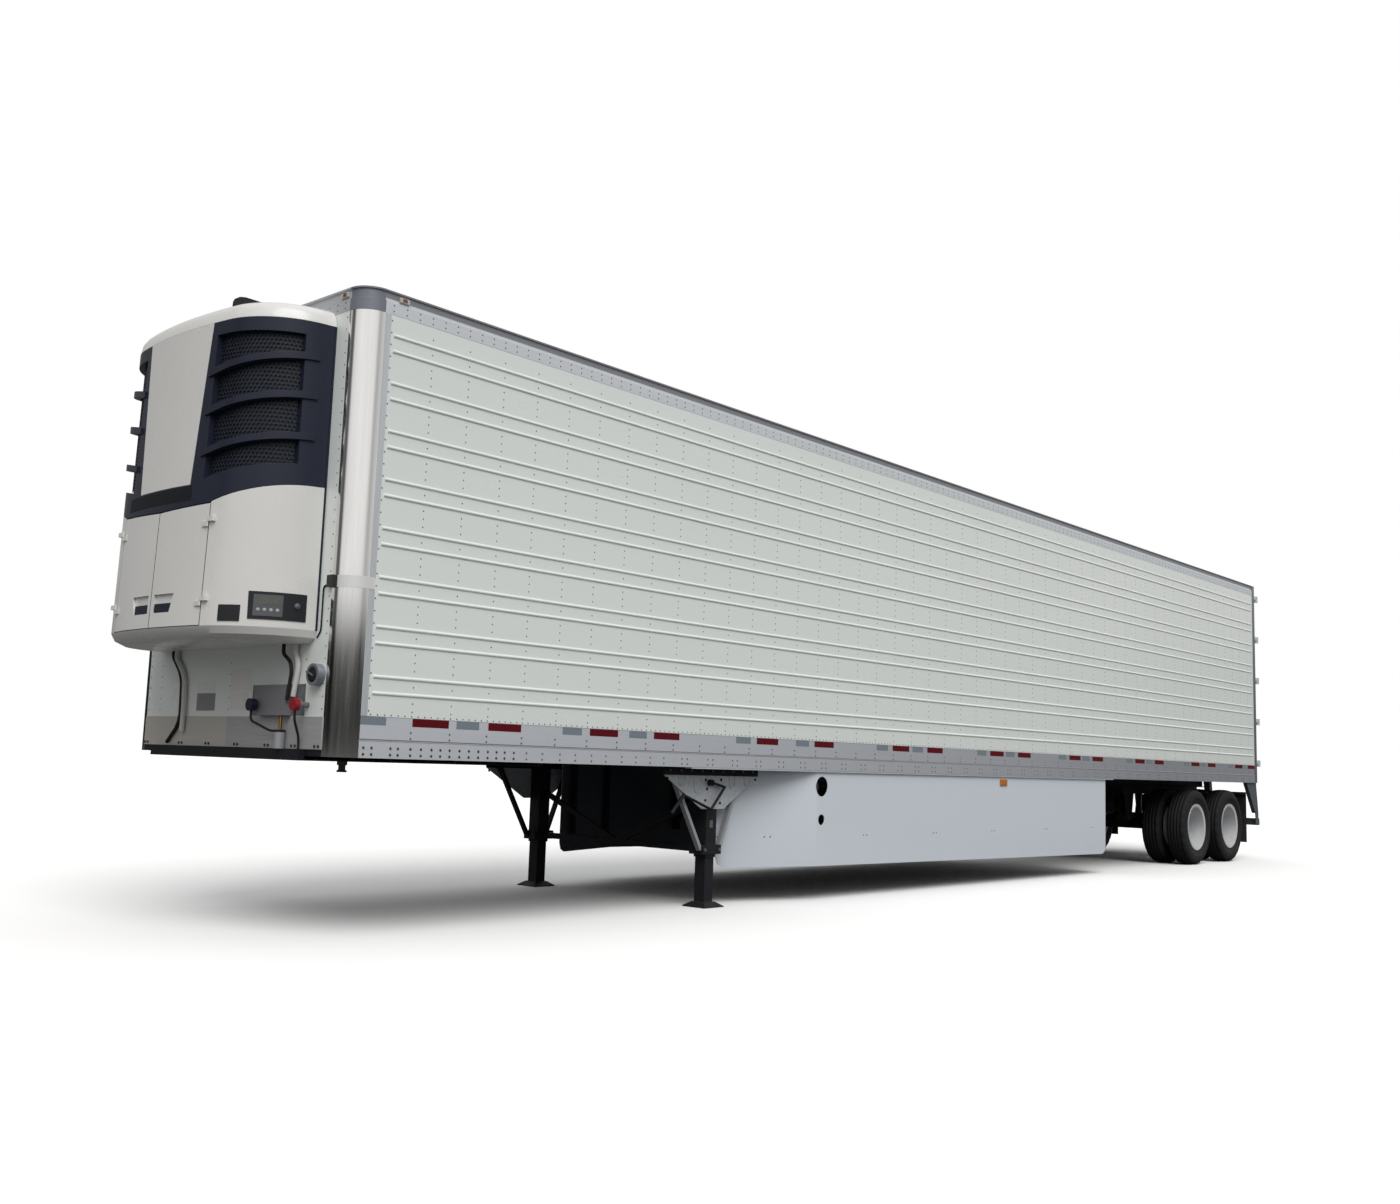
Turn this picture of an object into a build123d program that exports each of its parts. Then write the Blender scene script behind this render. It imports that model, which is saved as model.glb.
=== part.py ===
from build123d import *
import os
from math import cos, pi, sin, tan

# Refrigerated van semi trailer on its landing legs, with a sliding tandem.
# X is the trailer's left side, Y runs from the nose to the doors, Z is up from the ground.
# Stations along Y are measured from the front wall's face. All lengths are in millimetres.
os.makedirs("parts", exist_ok=True)

# Box: the four sizes that drive the rest
BOX_LENGTH = 16154.0
SKIN_HALF = 1287.5
ROOF_EDGE = 4110.0
RAIL_BOTTOM = 1128.0

# Box: heights and thicknesses that follow
WALL = 64.0
INNER_HALF = SKIN_HALF - WALL
FRONT_WALL = 100.0
CORNER_R = 159.0
FLAT_HALF = SKIN_HALF - CORNER_R
RAIL_LINE = RAIL_BOTTOM + 105.0
FLOOR_TOP = RAIL_BOTTOM + 260.0
TOP_RAIL_BOTTOM = ROOF_EDGE - 153.0
ROOF_CROWN = ROOF_EDGE + 6.0
ROOF_UNDER = ROOF_EDGE - 76.0
BEAD_RISE = 8.0
BEAD_HALF = 12.0
BEAD_TOP = TOP_RAIL_BOTTOM - 136.0
BEAD_PITCH = 312.5
BEAD_PAIR = 103.0
BEAD_FOOT = FLOOR_TOP + 140.0
BEAD_START = CORNER_R + 71.0

# Rear end
DOOR_LEAF = 45.0
DOOR_PLUG = 60.0
FRAME_DEPTH = 105.0
FRAME_REAR = BOX_LENGTH - DOOR_LEAF
FRAME_FRONT = FRAME_REAR - FRAME_DEPTH
PIN_X = SKIN_HALF + 2.5
PIN_Y = BOX_LENGTH + 64.0
KNUCKLE_R = 13.0
REAR_REACH = PIN_Y - BOX_LENGTH + KNUCKLE_R
RUN_GAP = 0.3

# Refrigeration unit
UNIT_REACH = 600.0
UNIT_HALF = 1000.0
UNIT_GRILLE_TOP = ROOF_EDGE - 240.0
UNIT_BAND = UNIT_GRILLE_TOP - 1185.0
UNIT_SEAM = UNIT_BAND - 780.0
UNIT_BOTTOM = UNIT_SEAM - 75.0

# Running gear
AXLES = (BOX_LENGTH - 2413.0, BOX_LENGTH - 1167.0)
TYRE_R = 508.0
TRACK_HALF = SKIN_HALF - 303.5
DUAL_HALF = 171.5
RIM_R = 286.0
LEG_X = SKIN_HALF - 272.5
LEG_Y = 3751.0
KINGPIN_Y = 914.0
COUPLER_Z = RAIL_BOTTOM - 28.0

NOSE_Y = (UNIT_REACH - BOX_LENGTH - REAR_REACH) / 2
FAR = 2 * BOX_LENGTH


def span(x0, x1, y0, y1, z0, z1):
    """Block between two limits on each axis."""
    return Pos((x0 + x1) / 2, (y0 + y1) / 2, (z0 + z1) / 2) * Box(x1 - x0, y1 - y0, z1 - z0)


def prism(points, axis, lo, hi):
    """Polygon in the plane across an axis, drawn out between two limits on that axis."""
    place = {
        "x": lambda a, b: (lo, a, b),
        "y": lambda a, b: (a, lo, b),
        "z": lambda a, b: (a, b, lo),
    }[axis]
    way = {"x": (1, 0, 0), "y": (0, 1, 0), "z": (0, 0, 1)}[axis]
    face = Face(Wire.make_polygon([place(a, b) for a, b in points], close=True))
    return extrude(face, amount=hi - lo, dir=way)


def rod(start, end, radius):
    """Round bar between two points."""
    a = Vector(*start)
    b = Vector(*end)
    return Solid.make_cylinder(radius, (b - a).length, Plane(origin=a, z_dir=b - a))


def bar(start, end, wide, thick, side):
    """Flat or square bar between two points, its width laid along the side direction."""
    a = Vector(*start)
    b = Vector(*end)
    plane = Plane(origin=a, x_dir=Vector(*side), z_dir=b - a)
    return plane * Pos(0, 0, (b - a).length / 2) * Box(wide, thick, (b - a).length)


def turned(points, x, y, z):
    """Solid of revolution about an axis along X; points are (reach along X, radius)."""
    face = Face(Wire.make_polygon([(x + a, y, z + r) for a, r in points], close=True))
    return revolve(face, Axis((x, y, z), (1, 0, 0)), 360)


def pipe(points, radii, radius):
    """Round tube along straight runs joined by arcs."""
    path = FilletPolyline(*points, radius=radii)
    start = Plane(origin=path @ 0, z_dir=path % 0)
    return sweep(start * Circle(radius), path=path)


def other_side(shape):
    """The same piece on the right-hand side."""
    return mirror(shape, Plane.YZ)


def both(shape):
    """A left-hand piece with its right-hand twin."""
    return [shape, other_side(shape)]


def joined(pieces):
    """One solid made of pieces that meet."""
    whole = pieces[0]
    for piece in pieces[1:]:
        whole = whole + piece
    return whole


def save(name, *shapes):
    """Write a node, moved from stations to the shared frame."""
    solids = []
    for shape in shapes:
        group = shape if isinstance(shape, (list, tuple)) else [shape]
        for item in group:
            solids += list(item.solids())
    moved = [Pos(0, NOSE_Y, 0) * solid for solid in solids]
    node = moved[0] if len(moved) == 1 else Compound(children=moved)
    export_step(node, "parts/" + name + ".step")
    print(name, len(moved))


# Side walls with their pressed beads
BEAD_REAR = FRAME_FRONT - 60.0


def bead(z):
    """Half-round ridge along the side sheet."""
    line = Edge.make_line((SKIN_HALF, BEAD_START, z + BEAD_HALF), (SKIN_HALF, BEAD_START, z - BEAD_HALF))
    arc = Edge.make_three_point_arc(
        (SKIN_HALF, BEAD_START, z - BEAD_HALF),
        (SKIN_HALF + BEAD_RISE, BEAD_START, z),
        (SKIN_HALF, BEAD_START, z + BEAD_HALF),
    )
    return extrude(Face(Wire([line, arc])), amount=BEAD_REAR - BEAD_START, dir=(0, 1, 0))


wall = span(INNER_HALF, SKIN_HALF, CORNER_R, FRAME_FRONT, FLOOR_TOP, TOP_RAIL_BOTTOM)
bead_pairs = int((BEAD_TOP - BEAD_FOOT) // BEAD_PITCH) + 1
for pair in range(bead_pairs):
    upper = BEAD_TOP - pair * BEAD_PITCH
    wall = wall + bead(upper) + bead(upper - BEAD_PAIR)
save("side_walls", both(wall))

# Front wall, rounded corner posts and kick plate
KICK_TOP = RAIL_LINE + 140.0
KICK_LOW = RAIL_BOTTOM + 43.0
KICK_THICK = 6.0
save("front_wall", span(-FLAT_HALF, FLAT_HALF, 0, FRONT_WALL, RAIL_LINE, TOP_RAIL_BOTTOM))
post_edges = [
    Edge.make_three_point_arc(
        (FLAT_HALF, 0, RAIL_BOTTOM),
        (FLAT_HALF + CORNER_R * sin(pi / 4), CORNER_R * (1 - cos(pi / 4)), RAIL_BOTTOM),
        (SKIN_HALF, CORNER_R, RAIL_BOTTOM),
    ),
    Edge.make_line((SKIN_HALF, CORNER_R, RAIL_BOTTOM), (INNER_HALF, CORNER_R, RAIL_BOTTOM)),
    Edge.make_line((INNER_HALF, CORNER_R, RAIL_BOTTOM), (INNER_HALF, FRONT_WALL, RAIL_BOTTOM)),
    Edge.make_line((INNER_HALF, FRONT_WALL, RAIL_BOTTOM), (FLAT_HALF, FRONT_WALL, RAIL_BOTTOM)),
    Edge.make_line((FLAT_HALF, FRONT_WALL, RAIL_BOTTOM), (FLAT_HALF, 0, RAIL_BOTTOM)),
]
post = extrude(Face(Wire(post_edges)), amount=TOP_RAIL_BOTTOM - RAIL_BOTTOM, dir=(0, 0, 1))
save("corner_posts", both(post))
save("kick_plate", span(-FLAT_HALF, FLAT_HALF, -KICK_THICK, 0, KICK_LOW, KICK_TOP))

# Floor with its lengthwise ducts
RAIL_INNER = SKIN_HALF - 10.0
SLAB_TOP = FLOOR_TOP - 38.0
DUCT_HALF = INNER_HALF - 23.5
DUCT_PITCH = 60.0
DUCT_RIB = 28.0
comb = [(RAIL_INNER, RAIL_LINE), (RAIL_INNER, FLOOR_TOP), (DUCT_HALF, FLOOR_TOP), (DUCT_HALF, SLAB_TOP)]
ribs = int((2 * DUCT_HALF - DUCT_PITCH) // DUCT_PITCH)
for index in range(ribs):
    right = (ribs - 1) * DUCT_PITCH / 2 - index * DUCT_PITCH + DUCT_RIB / 2
    left = right - DUCT_RIB
    comb += [(right, SLAB_TOP), (right, FLOOR_TOP), (left, FLOOR_TOP), (left, SLAB_TOP)]
comb += [(-DUCT_HALF, SLAB_TOP), (-DUCT_HALF, FLOOR_TOP), (-RAIL_INNER, FLOOR_TOP), (-RAIL_INNER, RAIL_LINE)]
floor = prism(comb, "y", FRONT_WALL, FRAME_FRONT)
for corner in both(span(INNER_HALF, SKIN_HALF, 0, CORNER_R, 0, FAR)):
    floor = floor - corner
save("floor", floor)

# Pan under the floor with its cross beams
PAN = 4.0
BEAM_TOP = RAIL_LINE - PAN
BEAM_FOOT = RAIL_BOTTOM + 12.0
BEAM_FLANGE = 30.0
BEAM_THICK = 8.0
BEAM_START = KINGPIN_Y + 1326.0
BEAM_PITCH = 305.0
pan = span(-RAIL_INNER, RAIL_INNER, CORNER_R, FRAME_FRONT, BEAM_TOP, RAIL_LINE)
beams = int((FRAME_FRONT - 2 * BEAM_FLANGE - BEAM_START) // BEAM_PITCH) + 1
for index in range(beams):
    at = BEAM_START + index * BEAM_PITCH
    half = [
        (BEAM_FLANGE, BEAM_FOOT),
        (BEAM_FLANGE, BEAM_FOOT + BEAM_THICK),
        (BEAM_THICK / 2, BEAM_FOOT + BEAM_THICK),
        (BEAM_THICK / 2, BEAM_TOP),
    ]
    shape = [(at + a, z) for a, z in half] + [(at - a, z) for a, z in reversed(half)]
    pan = pan + prism(shape, "x", -RAIL_INNER, RAIL_INNER)
save("underfloor_beams", pan)

# Bottom rails; columns: reach from the side sheet, height from the rail's foot
RAIL_LIP = 8.0
RAIL_FOOT = -37.5
RAIL_SHAPE = (
    (RAIL_FOOT, 0.0),
    (3.5, 0.0),
    (3.5, RAIL_LINE - RAIL_BOTTOM),
    (6.0, RAIL_LINE - RAIL_BOTTOM + 3.0),
    (6.0, RAIL_LINE - RAIL_BOTTOM + 9.0),
    (-2.0, RAIL_LINE - RAIL_BOTTOM + 12.0),
    (-2.0, FLOOR_TOP - RAIL_BOTTOM),
    (RAIL_INNER - SKIN_HALF, FLOOR_TOP - RAIL_BOTTOM),
    (RAIL_INNER - SKIN_HALF, RAIL_LIP),
    (RAIL_FOOT, RAIL_LIP),
)
rail = prism([(SKIN_HALF + a, RAIL_BOTTOM + z) for a, z in RAIL_SHAPE], "y", CORNER_R, FRAME_FRONT)
save("bottom_rails", both(rail))

# Top rails, front header with rounded caps, and roof share one stepped edge
# columns: reach from the side sheet, height above the rail's foot
EDGE_SHAPE = ((1.5, 0.0), (1.5, 78.0), (-7.0, 83.0), (-7.0, 139.0), (2.5, 142.0))
EDGE = [(a, TOP_RAIL_BOTTOM + z) for a, z in EDGE_SHAPE] + [(EDGE_SHAPE[-1][0], ROOF_EDGE)]
top_rail = prism(
    [(INNER_HALF, TOP_RAIL_BOTTOM)] + [(SKIN_HALF + a, z) for a, z in EDGE] + [(INNER_HALF, ROOF_EDGE)],
    "y",
    CORNER_R,
    FRAME_FRONT,
)
save("top_rails", both(top_rail))
header = prism(
    [(CORNER_R, TOP_RAIL_BOTTOM)] + [(-a, z) for a, z in EDGE] + [(CORNER_R, ROOF_EDGE)],
    "x",
    -FLAT_HALF,
    FLAT_HALF,
)
cap_points = [(FLAT_HALF, CORNER_R, TOP_RAIL_BOTTOM)]
cap_points += [(SKIN_HALF + a, CORNER_R, z) for a, z in EDGE]
cap_points += [(FLAT_HALF, CORNER_R, ROOF_EDGE)]
cap = revolve(
    Face(Wire.make_polygon(cap_points, close=True)),
    Axis((FLAT_HALF, CORNER_R, 0), (0, 0, -1)),
    90,
)
save("front_header", joined([header] + both(cap)))
roof_edges = [
    Edge.make_three_point_arc(
        (-INNER_HALF, CORNER_R, ROOF_EDGE), (0, CORNER_R, ROOF_CROWN), (INNER_HALF, CORNER_R, ROOF_EDGE)
    ),
    Edge.make_line((INNER_HALF, CORNER_R, ROOF_EDGE), (INNER_HALF, CORNER_R, ROOF_UNDER)),
    Edge.make_line((INNER_HALF, CORNER_R, ROOF_UNDER), (-INNER_HALF, CORNER_R, ROOF_UNDER)),
    Edge.make_line((-INNER_HALF, CORNER_R, ROOF_UNDER), (-INNER_HALF, CORNER_R, ROOF_EDGE)),
]
save("roof", extrude(Face(Wire(roof_edges)), amount=FRAME_FRONT - CORNER_R, dir=(0, 1, 0)))

# Rear frame: posts, header and sill round the door opening
POST_INNER = SKIN_HALF - 92.5
POST_OUTER = SKIN_HALF + 1.5
SILL_TOP = FLOOR_TOP - 4.0
HEADER_UNDER = TOP_RAIL_BOTTOM + 15.0
save("rear_posts", both(span(POST_INNER, POST_OUTER, FRAME_FRONT, FRAME_REAR, RAIL_BOTTOM, ROOF_EDGE)))
save("rear_header", span(-POST_INNER, POST_INNER, FRAME_FRONT, FRAME_REAR, HEADER_UNDER, ROOF_EDGE))
save("rear_sill", span(-POST_INNER, POST_INNER, FRAME_FRONT, FRAME_REAR, RAIL_BOTTOM, SILL_TOP))

# Rear doors: an outer leaf over the frame and a plug inside it
LEAF_IN = 8.0
LEAF_OUT = SKIN_HALF - 25.5
LEAF_LOW = SILL_TOP - 84.0
LEAF_HIGH = HEADER_UNDER + 68.0
PLUG_IN = 30.0
PLUG_OUT = POST_INNER - 15.0
PLUG_LOW = SILL_TOP + 16.0
PLUG_HIGH = HEADER_UNDER - 14.0
door = span(LEAF_IN, LEAF_OUT, FRAME_REAR, BOX_LENGTH, LEAF_LOW, LEAF_HIGH)
door = door + span(PLUG_IN, PLUG_OUT, FRAME_REAR - DOOR_PLUG, FRAME_REAR, PLUG_LOW, PLUG_HIGH)
save("door_left", door)
save("door_right", other_side(door))

# Hinges: a butt on the post between two lugs of a strap on the door, along one pin line
HINGE_COUNT = 5
HINGE_INSET = 120.0
BUTT_HALF = 15.0
BUTT_IN = LEAF_OUT + 6.0
STRAP_HALF = 48.0
STRAP_LONG = 245.0
STRAP_THICK = 8.0
STRAP_OUT = LEAF_OUT - 7.0
LUG_ROOT = 33.0
LUG_HALF = 9.0
butts = []
straps = []
hinge_step = (LEAF_HIGH - LEAF_LOW - 2 * HINGE_INSET) / (HINGE_COUNT - 1)
for index in range(HINGE_COUNT):
    z = LEAF_LOW + HINGE_INSET + index * hinge_step
    butt = span(BUTT_IN, POST_OUTER, FRAME_REAR, PIN_Y, z - BUTT_HALF, z + BUTT_HALF)
    butts.append(butt + rod((PIN_X, PIN_Y, z - BUTT_HALF), (PIN_X, PIN_Y, z + BUTT_HALF), KNUCKLE_R))
    strap_in = STRAP_OUT - STRAP_LONG
    strap_back = BOX_LENGTH + STRAP_THICK
    strap = span(strap_in, STRAP_OUT, BOX_LENGTH, strap_back, z - STRAP_HALF, z + STRAP_HALF)
    near = BUTT_HALF + RUN_GAP
    for low, high in ((z - STRAP_HALF, z - near), (z + near, z + STRAP_HALF)):
        lug = [
            (STRAP_OUT - LUG_ROOT, BOX_LENGTH),
            (STRAP_OUT, BOX_LENGTH),
            (PIN_X + LUG_HALF, PIN_Y - LUG_HALF),
            (PIN_X - LUG_HALF, PIN_Y + LUG_HALF),
        ]
        strap = strap + prism(lug, "z", low, high)
        strap = strap + rod((PIN_X, PIN_Y, low), (PIN_X, PIN_Y, high), KNUCKLE_R)
    straps.append(strap)

# Lock rods with guides, cams and handles, and their keepers on the frame
ROD_R = 13.5
ROD_Y = BOX_LENGTH + 27.0
ROD_PLACES = (0.24, 0.67)
ROD_LOW = RAIL_BOTTOM + 87.0
ROD_HIGH = ROOF_EDGE - 40.0
GUIDES = (0.025, 0.33, 0.65, 0.975)
GUIDE_FOOT = (38.0, 8.0, 30.0)
GUIDE_BLOCK = (20.0, 17.0, 22.0)
HANDLE_Z = LEAF_LOW + 450.0
HANDLE_LONG = 330.0
HANDLE_HALF = 18.0
HANDLE_THICK = 6.0
CATCH_LONG = 60.0
CATCH_HALF = 25.0
CAM_IN = 16.0
CAM_OUT = 30.0
CAM_DEEP = 40.0
CAM_BACK = 14.0
CAM_HALF = 12.0
KEEPER_AT = 38.0
KEEPER_THICK = 8.0
KEEPER_HALF = 30.0
locks = []
keepers = []
for place in ROD_PLACES:
    x = LEAF_OUT * place
    lock = rod((x, ROD_Y, ROD_LOW), (x, ROD_Y, ROD_HIGH), ROD_R)
    for share in GUIDES:
        z = LEAF_LOW + share * (LEAF_HIGH - LEAF_LOW)
        wide, deep, high = GUIDE_FOOT
        lock = lock + span(x - wide, x + wide, BOX_LENGTH, BOX_LENGTH + deep, z - high, z + high)
        wide, deep, high = GUIDE_BLOCK
        lock = lock + span(x - wide, x + wide, BOX_LENGTH, ROD_Y + deep, z - high, z + high)
    end = x + HANDLE_LONG
    grip_low = HANDLE_Z - HANDLE_HALF
    grip_high = HANDLE_Z + HANDLE_HALF
    lock = lock + span(x, end, ROD_Y - HANDLE_THICK, ROD_Y + HANDLE_THICK, grip_low, grip_high)
    catch_back = ROD_Y - HANDLE_THICK
    lock = lock + span(end - CATCH_LONG, end, BOX_LENGTH, catch_back, HANDLE_Z - CATCH_HALF, HANDLE_Z + CATCH_HALF)
    for z in (ROD_LOW, ROD_HIGH):
        lock = lock + span(x - CAM_IN, x + CAM_OUT, ROD_Y - CAM_DEEP, ROD_Y + CAM_BACK, z - CAM_HALF, z + CAM_HALF)
        for near in (x - KEEPER_AT, x + KEEPER_AT):
            keepers.append(span(near, near + KEEPER_THICK, FRAME_REAR, ROD_Y, z - KEEPER_HALF, z + KEEPER_HALF))
    locks.append(lock)
save("door_gear_left", *straps, *locks)
save("door_gear_right", *[other_side(piece) for piece in straps + locks])
save("door_mountings", *[both(piece) for piece in butts + keepers])

# Upper coupler: bottom plate, nose bar, cross channels and the kingpin
COUPLER_HALF = FLAT_HALF - 181.5
COUPLER_FRONT = -42.0
COUPLER_REAR = BEAM_START - 260.0
PLATE = 12.0
PLATE_TOP = COUPLER_Z + PLATE
PIN_HOLE = 60.0
NOSE_BAR_TOP = KICK_LOW - 1.0
CHANNEL_HALF = 20.0
CHANNELS = (0.18, 0.33, 0.60, 0.76, 0.99)
RUNNER_X = 400.0
RUNNER_HALF = 10.0
coupler = span(-COUPLER_HALF, COUPLER_HALF, COUPLER_FRONT, COUPLER_REAR, COUPLER_Z, PLATE_TOP)
coupler = coupler + span(-COUPLER_HALF, COUPLER_HALF, COUPLER_FRONT, 0, COUPLER_Z, NOSE_BAR_TOP)
coupler = coupler + span(-FLAT_HALF, FLAT_HALF, 0, FRONT_WALL, RAIL_BOTTOM, RAIL_LINE)
for share in CHANNELS:
    front = share * COUPLER_REAR - CHANNEL_HALF
    back = share * COUPLER_REAR + CHANNEL_HALF
    coupler = coupler + span(-COUPLER_HALF, COUPLER_HALF, front, back, PLATE_TOP, BEAM_TOP)
for x in (-RUNNER_X, RUNNER_X):
    coupler = coupler + span(x - RUNNER_HALF, x + RUNNER_HALF, CORNER_R, COUPLER_REAR, PLATE_TOP, BEAM_TOP)
coupler = coupler - rod((0, KINGPIN_Y, COUPLER_Z - PLATE), (0, KINGPIN_Y, PLATE_TOP + PLATE), PIN_HOLE)
save("upper_coupler", coupler)
# columns: radius, height from the plate's underside
PIN_SHAPE = (
    (0.0, -84.0),
    (35.7, -84.0),
    (35.7, -70.0),
    (25.4, -68.0),
    (25.4, -35.0),
    (36.5, -33.0),
    (36.5, PLATE),
    (110.0, PLATE),
    (110.0, PLATE + 18.0),
    (0.0, PLATE + 18.0),
)
pin_face = Face(Wire.make_polygon([(r, KINGPIN_Y, COUPLER_Z + z) for r, z in PIN_SHAPE], close=True))
save("kingpin", revolve(pin_face, Axis((0, KINGPIN_Y, 0), (0, 0, 1)), 360))

# Landing legs: outer tubes with clamps, inner tubes with shoes
OUTER_TUBE = 63.5
INNER_TUBE = 54.0
SLEEVE = 400.0
CLAMP_LOW = 425.0
CLAMP_HIGH = 500.0
CLAMP_HALF = 76.0
CLAMP_FRONT = 110.0
CLAMP_REAR = 120.0
SHOE = 122.0
SHOE_TOP = 42.0
SHOE_EDGE = 8.0
SHOE_NECK = 70.0
leg = span(LEG_X - OUTER_TUBE, LEG_X + OUTER_TUBE, LEG_Y - OUTER_TUBE, LEG_Y + OUTER_TUBE, SLEEVE, BEAM_FOOT)
clamp_front = LEG_Y - CLAMP_FRONT
clamp_rear = LEG_Y + CLAMP_REAR
leg = leg + span(LEG_X - CLAMP_HALF, LEG_X + CLAMP_HALF, clamp_front, clamp_rear, CLAMP_LOW, CLAMP_HIGH)
save("landing_legs", both(leg))
foot = span(LEG_X - INNER_TUBE, LEG_X + INNER_TUBE, LEG_Y - INNER_TUBE, LEG_Y + INNER_TUBE, SHOE_EDGE, SLEEVE)
foot = foot + span(LEG_X - SHOE, LEG_X + SHOE, LEG_Y - SHOE, LEG_Y + SHOE, 0, SHOE_EDGE)
shoe_faces = [
    Pos(LEG_X, LEG_Y, SHOE_EDGE) * Rectangle(2 * SHOE, 2 * SHOE),
    Pos(LEG_X, LEG_Y, SHOE_TOP) * Rectangle(2 * SHOE_NECK, 2 * SHOE_NECK),
]
foot = foot + loft(shoe_faces, ruled=True)
save("landing_feet", both(foot))

# Wing plates on the legs and the angles they hang from
WING_X = LEG_X + OUTER_TUBE
WING = 8.0
WING_FRONT = LEG_Y - 600.0
WING_REAR = LEG_Y + 585.0
WING_TOP = BEAM_FOOT - 78.0
WING_LOW = WING_TOP - 270.0
WING_HALF = 140.0
ANGLE_IN = 90.0
ANGLE_THICK = 10.0
wing_outline = [
    (WING_FRONT, WING_TOP),
    (WING_REAR, WING_TOP),
    (LEG_Y + WING_HALF, WING_LOW),
    (LEG_Y - WING_HALF, WING_LOW),
]
save("leg_wing_plates", both(prism(wing_outline, "x", WING_X, WING_X + WING)))
hanger = span(WING_X, WING_X + WING, WING_FRONT, WING_REAR, WING_TOP, BEAM_FOOT)
for near, far in ((WING_FRONT, LEG_Y - OUTER_TUBE), (LEG_Y + OUTER_TUBE, WING_REAR)):
    hanger = hanger + span(WING_X - ANGLE_IN, WING_X, near, far, BEAM_FOOT - ANGLE_THICK, BEAM_FOOT)

# Braces: one fore and one aft of each leg, and a cross tie with a vee between the legs
BRACE_X = LEG_X + 36.0
BRACE_WIDE = 44.0
BRACE_THICK = 30.0
BRACE_FRONT = WING_FRONT + 80.0
BRACE_REAR = LEG_Y + 400.0
TIE_HALF = 25.0
TIE_Z = (CLAMP_LOW + CLAMP_HIGH) / 2
VEE_TOP = 880.0
VEE_WIDE = 50.0
brace_top = BEAM_FOOT - ANGLE_THICK
clamp_zone = span(0, FAR, clamp_front, clamp_rear, 0, FAR)
under_angle = span(0, FAR, 0, FAR, 0, brace_top)
for foot_y, top_y in ((clamp_front, BRACE_FRONT), (clamp_rear, BRACE_REAR)):
    brace = bar((BRACE_X, foot_y, TIE_Z), (BRACE_X, top_y, brace_top + TIE_HALF), BRACE_WIDE, BRACE_THICK, (1, 0, 0))
    hanger = hanger + ((brace - clamp_zone) & under_angle)
leg_face = LEG_X - OUTER_TUBE
clamp_face = LEG_X - CLAMP_HALF
cross = span(-clamp_face, clamp_face, LEG_Y - TIE_HALF, LEG_Y + TIE_HALF, TIE_Z - TIE_HALF, TIE_Z + TIE_HALF)
between_legs = span(-leg_face, leg_face, 0, FAR, 0, FAR)
for side in (-1, 1):
    vee = bar((0, LEG_Y, TIE_Z), (side * LEG_X, LEG_Y, VEE_TOP), TIE_HALF, VEE_WIDE, (0, 1, 0))
    cross = cross + (vee & between_legs)
save("leg_braces", cross, both(hanger))

# Crank on the left leg: gear head, folded arm and hanging grip
CRANK_R = 11.0
GRIP_R = 15.0
HEAD_R = 26.0
CRANK_X = WING_X + 45.0
# columns: station from the leg, height under the beams
CRANK_ROUTE = ((-50.0, -135.0), (105.0, -168.0), (-60.0, -350.0), (-400.0, -235.0), (-540.0, -378.0))
head_y = LEG_Y + CRANK_ROUTE[0][0]
head_z = BEAM_FOOT + CRANK_ROUTE[0][1]
crank = rod((WING_X + WING, head_y, head_z), (CRANK_X, head_y, head_z), HEAD_R)
for (y0, z0), (y1, z1) in zip(CRANK_ROUTE[:-1], CRANK_ROUTE[1:]):
    thick = GRIP_R if (y1, z1) == CRANK_ROUTE[-1] else CRANK_R
    start = (CRANK_X, LEG_Y + y0, BEAM_FOOT + z0)
    crank = crank + rod(start, (CRANK_X, LEG_Y + y1, BEAM_FOOT + z1), thick)
    crank = crank + Pos(*start) * Sphere(thick)
save("leg_crank", crank)

# Side skirts: a long panel, a front part turned inward behind the leg, and a top flange
SKIRT_X = SKIN_HALF - 25.5
SKIRT = 6.0
SKIRT_REAR = AXLES[0] - 2901.0
SKIRT_REAR_LOW = 235.0
SKIRT_FRONT_LOW = 300.0
SKIRT_ROUND = 90.0
BEND_Y = LEG_Y + 1189.0
TURNED_LONG = 1030.0
TURNED_ANGLE = 17.8
FILL_Y = LEG_Y + 1269.0
FILL_Z = 990.0
FILL_R = 87.5
GAUGE_Z = 700.0
GAUGE_R = 47.0
FLANGE_FRONT = WING_FRONT + 100.0
FLANGE_REAR = SKIRT_REAR + 190.0
FLANGE_THICK = 10.0
FLANGE_IN = 45.0
SKIRT_TOP = RAIL_BOTTOM - FLANGE_THICK
rounding = SKIRT_ROUND * (1 - cos(pi / 4))
turned_front = BEND_Y - TURNED_LONG
skirt_outline = [
    (BEND_Y, SKIRT_TOP),
    (SKIRT_REAR, SKIRT_TOP),
    (SKIRT_REAR, SKIRT_REAR_LOW + SKIRT_ROUND),
    (SKIRT_REAR - rounding, SKIRT_REAR_LOW + rounding),
    (SKIRT_REAR - SKIRT_ROUND, SKIRT_REAR_LOW),
    (BEND_Y, SKIRT_FRONT_LOW),
]
turned_outline = [
    (BEND_Y, SKIRT_TOP),
    (BEND_Y, SKIRT_FRONT_LOW),
    (turned_front + SKIRT_ROUND, SKIRT_FRONT_LOW),
    (turned_front + rounding, SKIRT_FRONT_LOW + rounding),
    (turned_front, SKIRT_FRONT_LOW + SKIRT_ROUND),
    (turned_front, SKIRT_TOP),
]
bend = Axis((SKIRT_X + SKIRT, BEND_Y, 0), (0, 0, 1))
skirt = prism(skirt_outline, "x", SKIRT_X, SKIRT_X + SKIRT)
skirt = skirt + prism(turned_outline, "x", SKIRT_X, SKIRT_X + SKIRT).rotate(bend, -TURNED_ANGLE)
flange_in = SKIRT_X - FLANGE_IN
skirt = skirt + span(flange_in, SKIN_HALF, FLANGE_FRONT, FLANGE_REAR, SKIRT_TOP, RAIL_BOTTOM)
left_skirt = skirt
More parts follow.
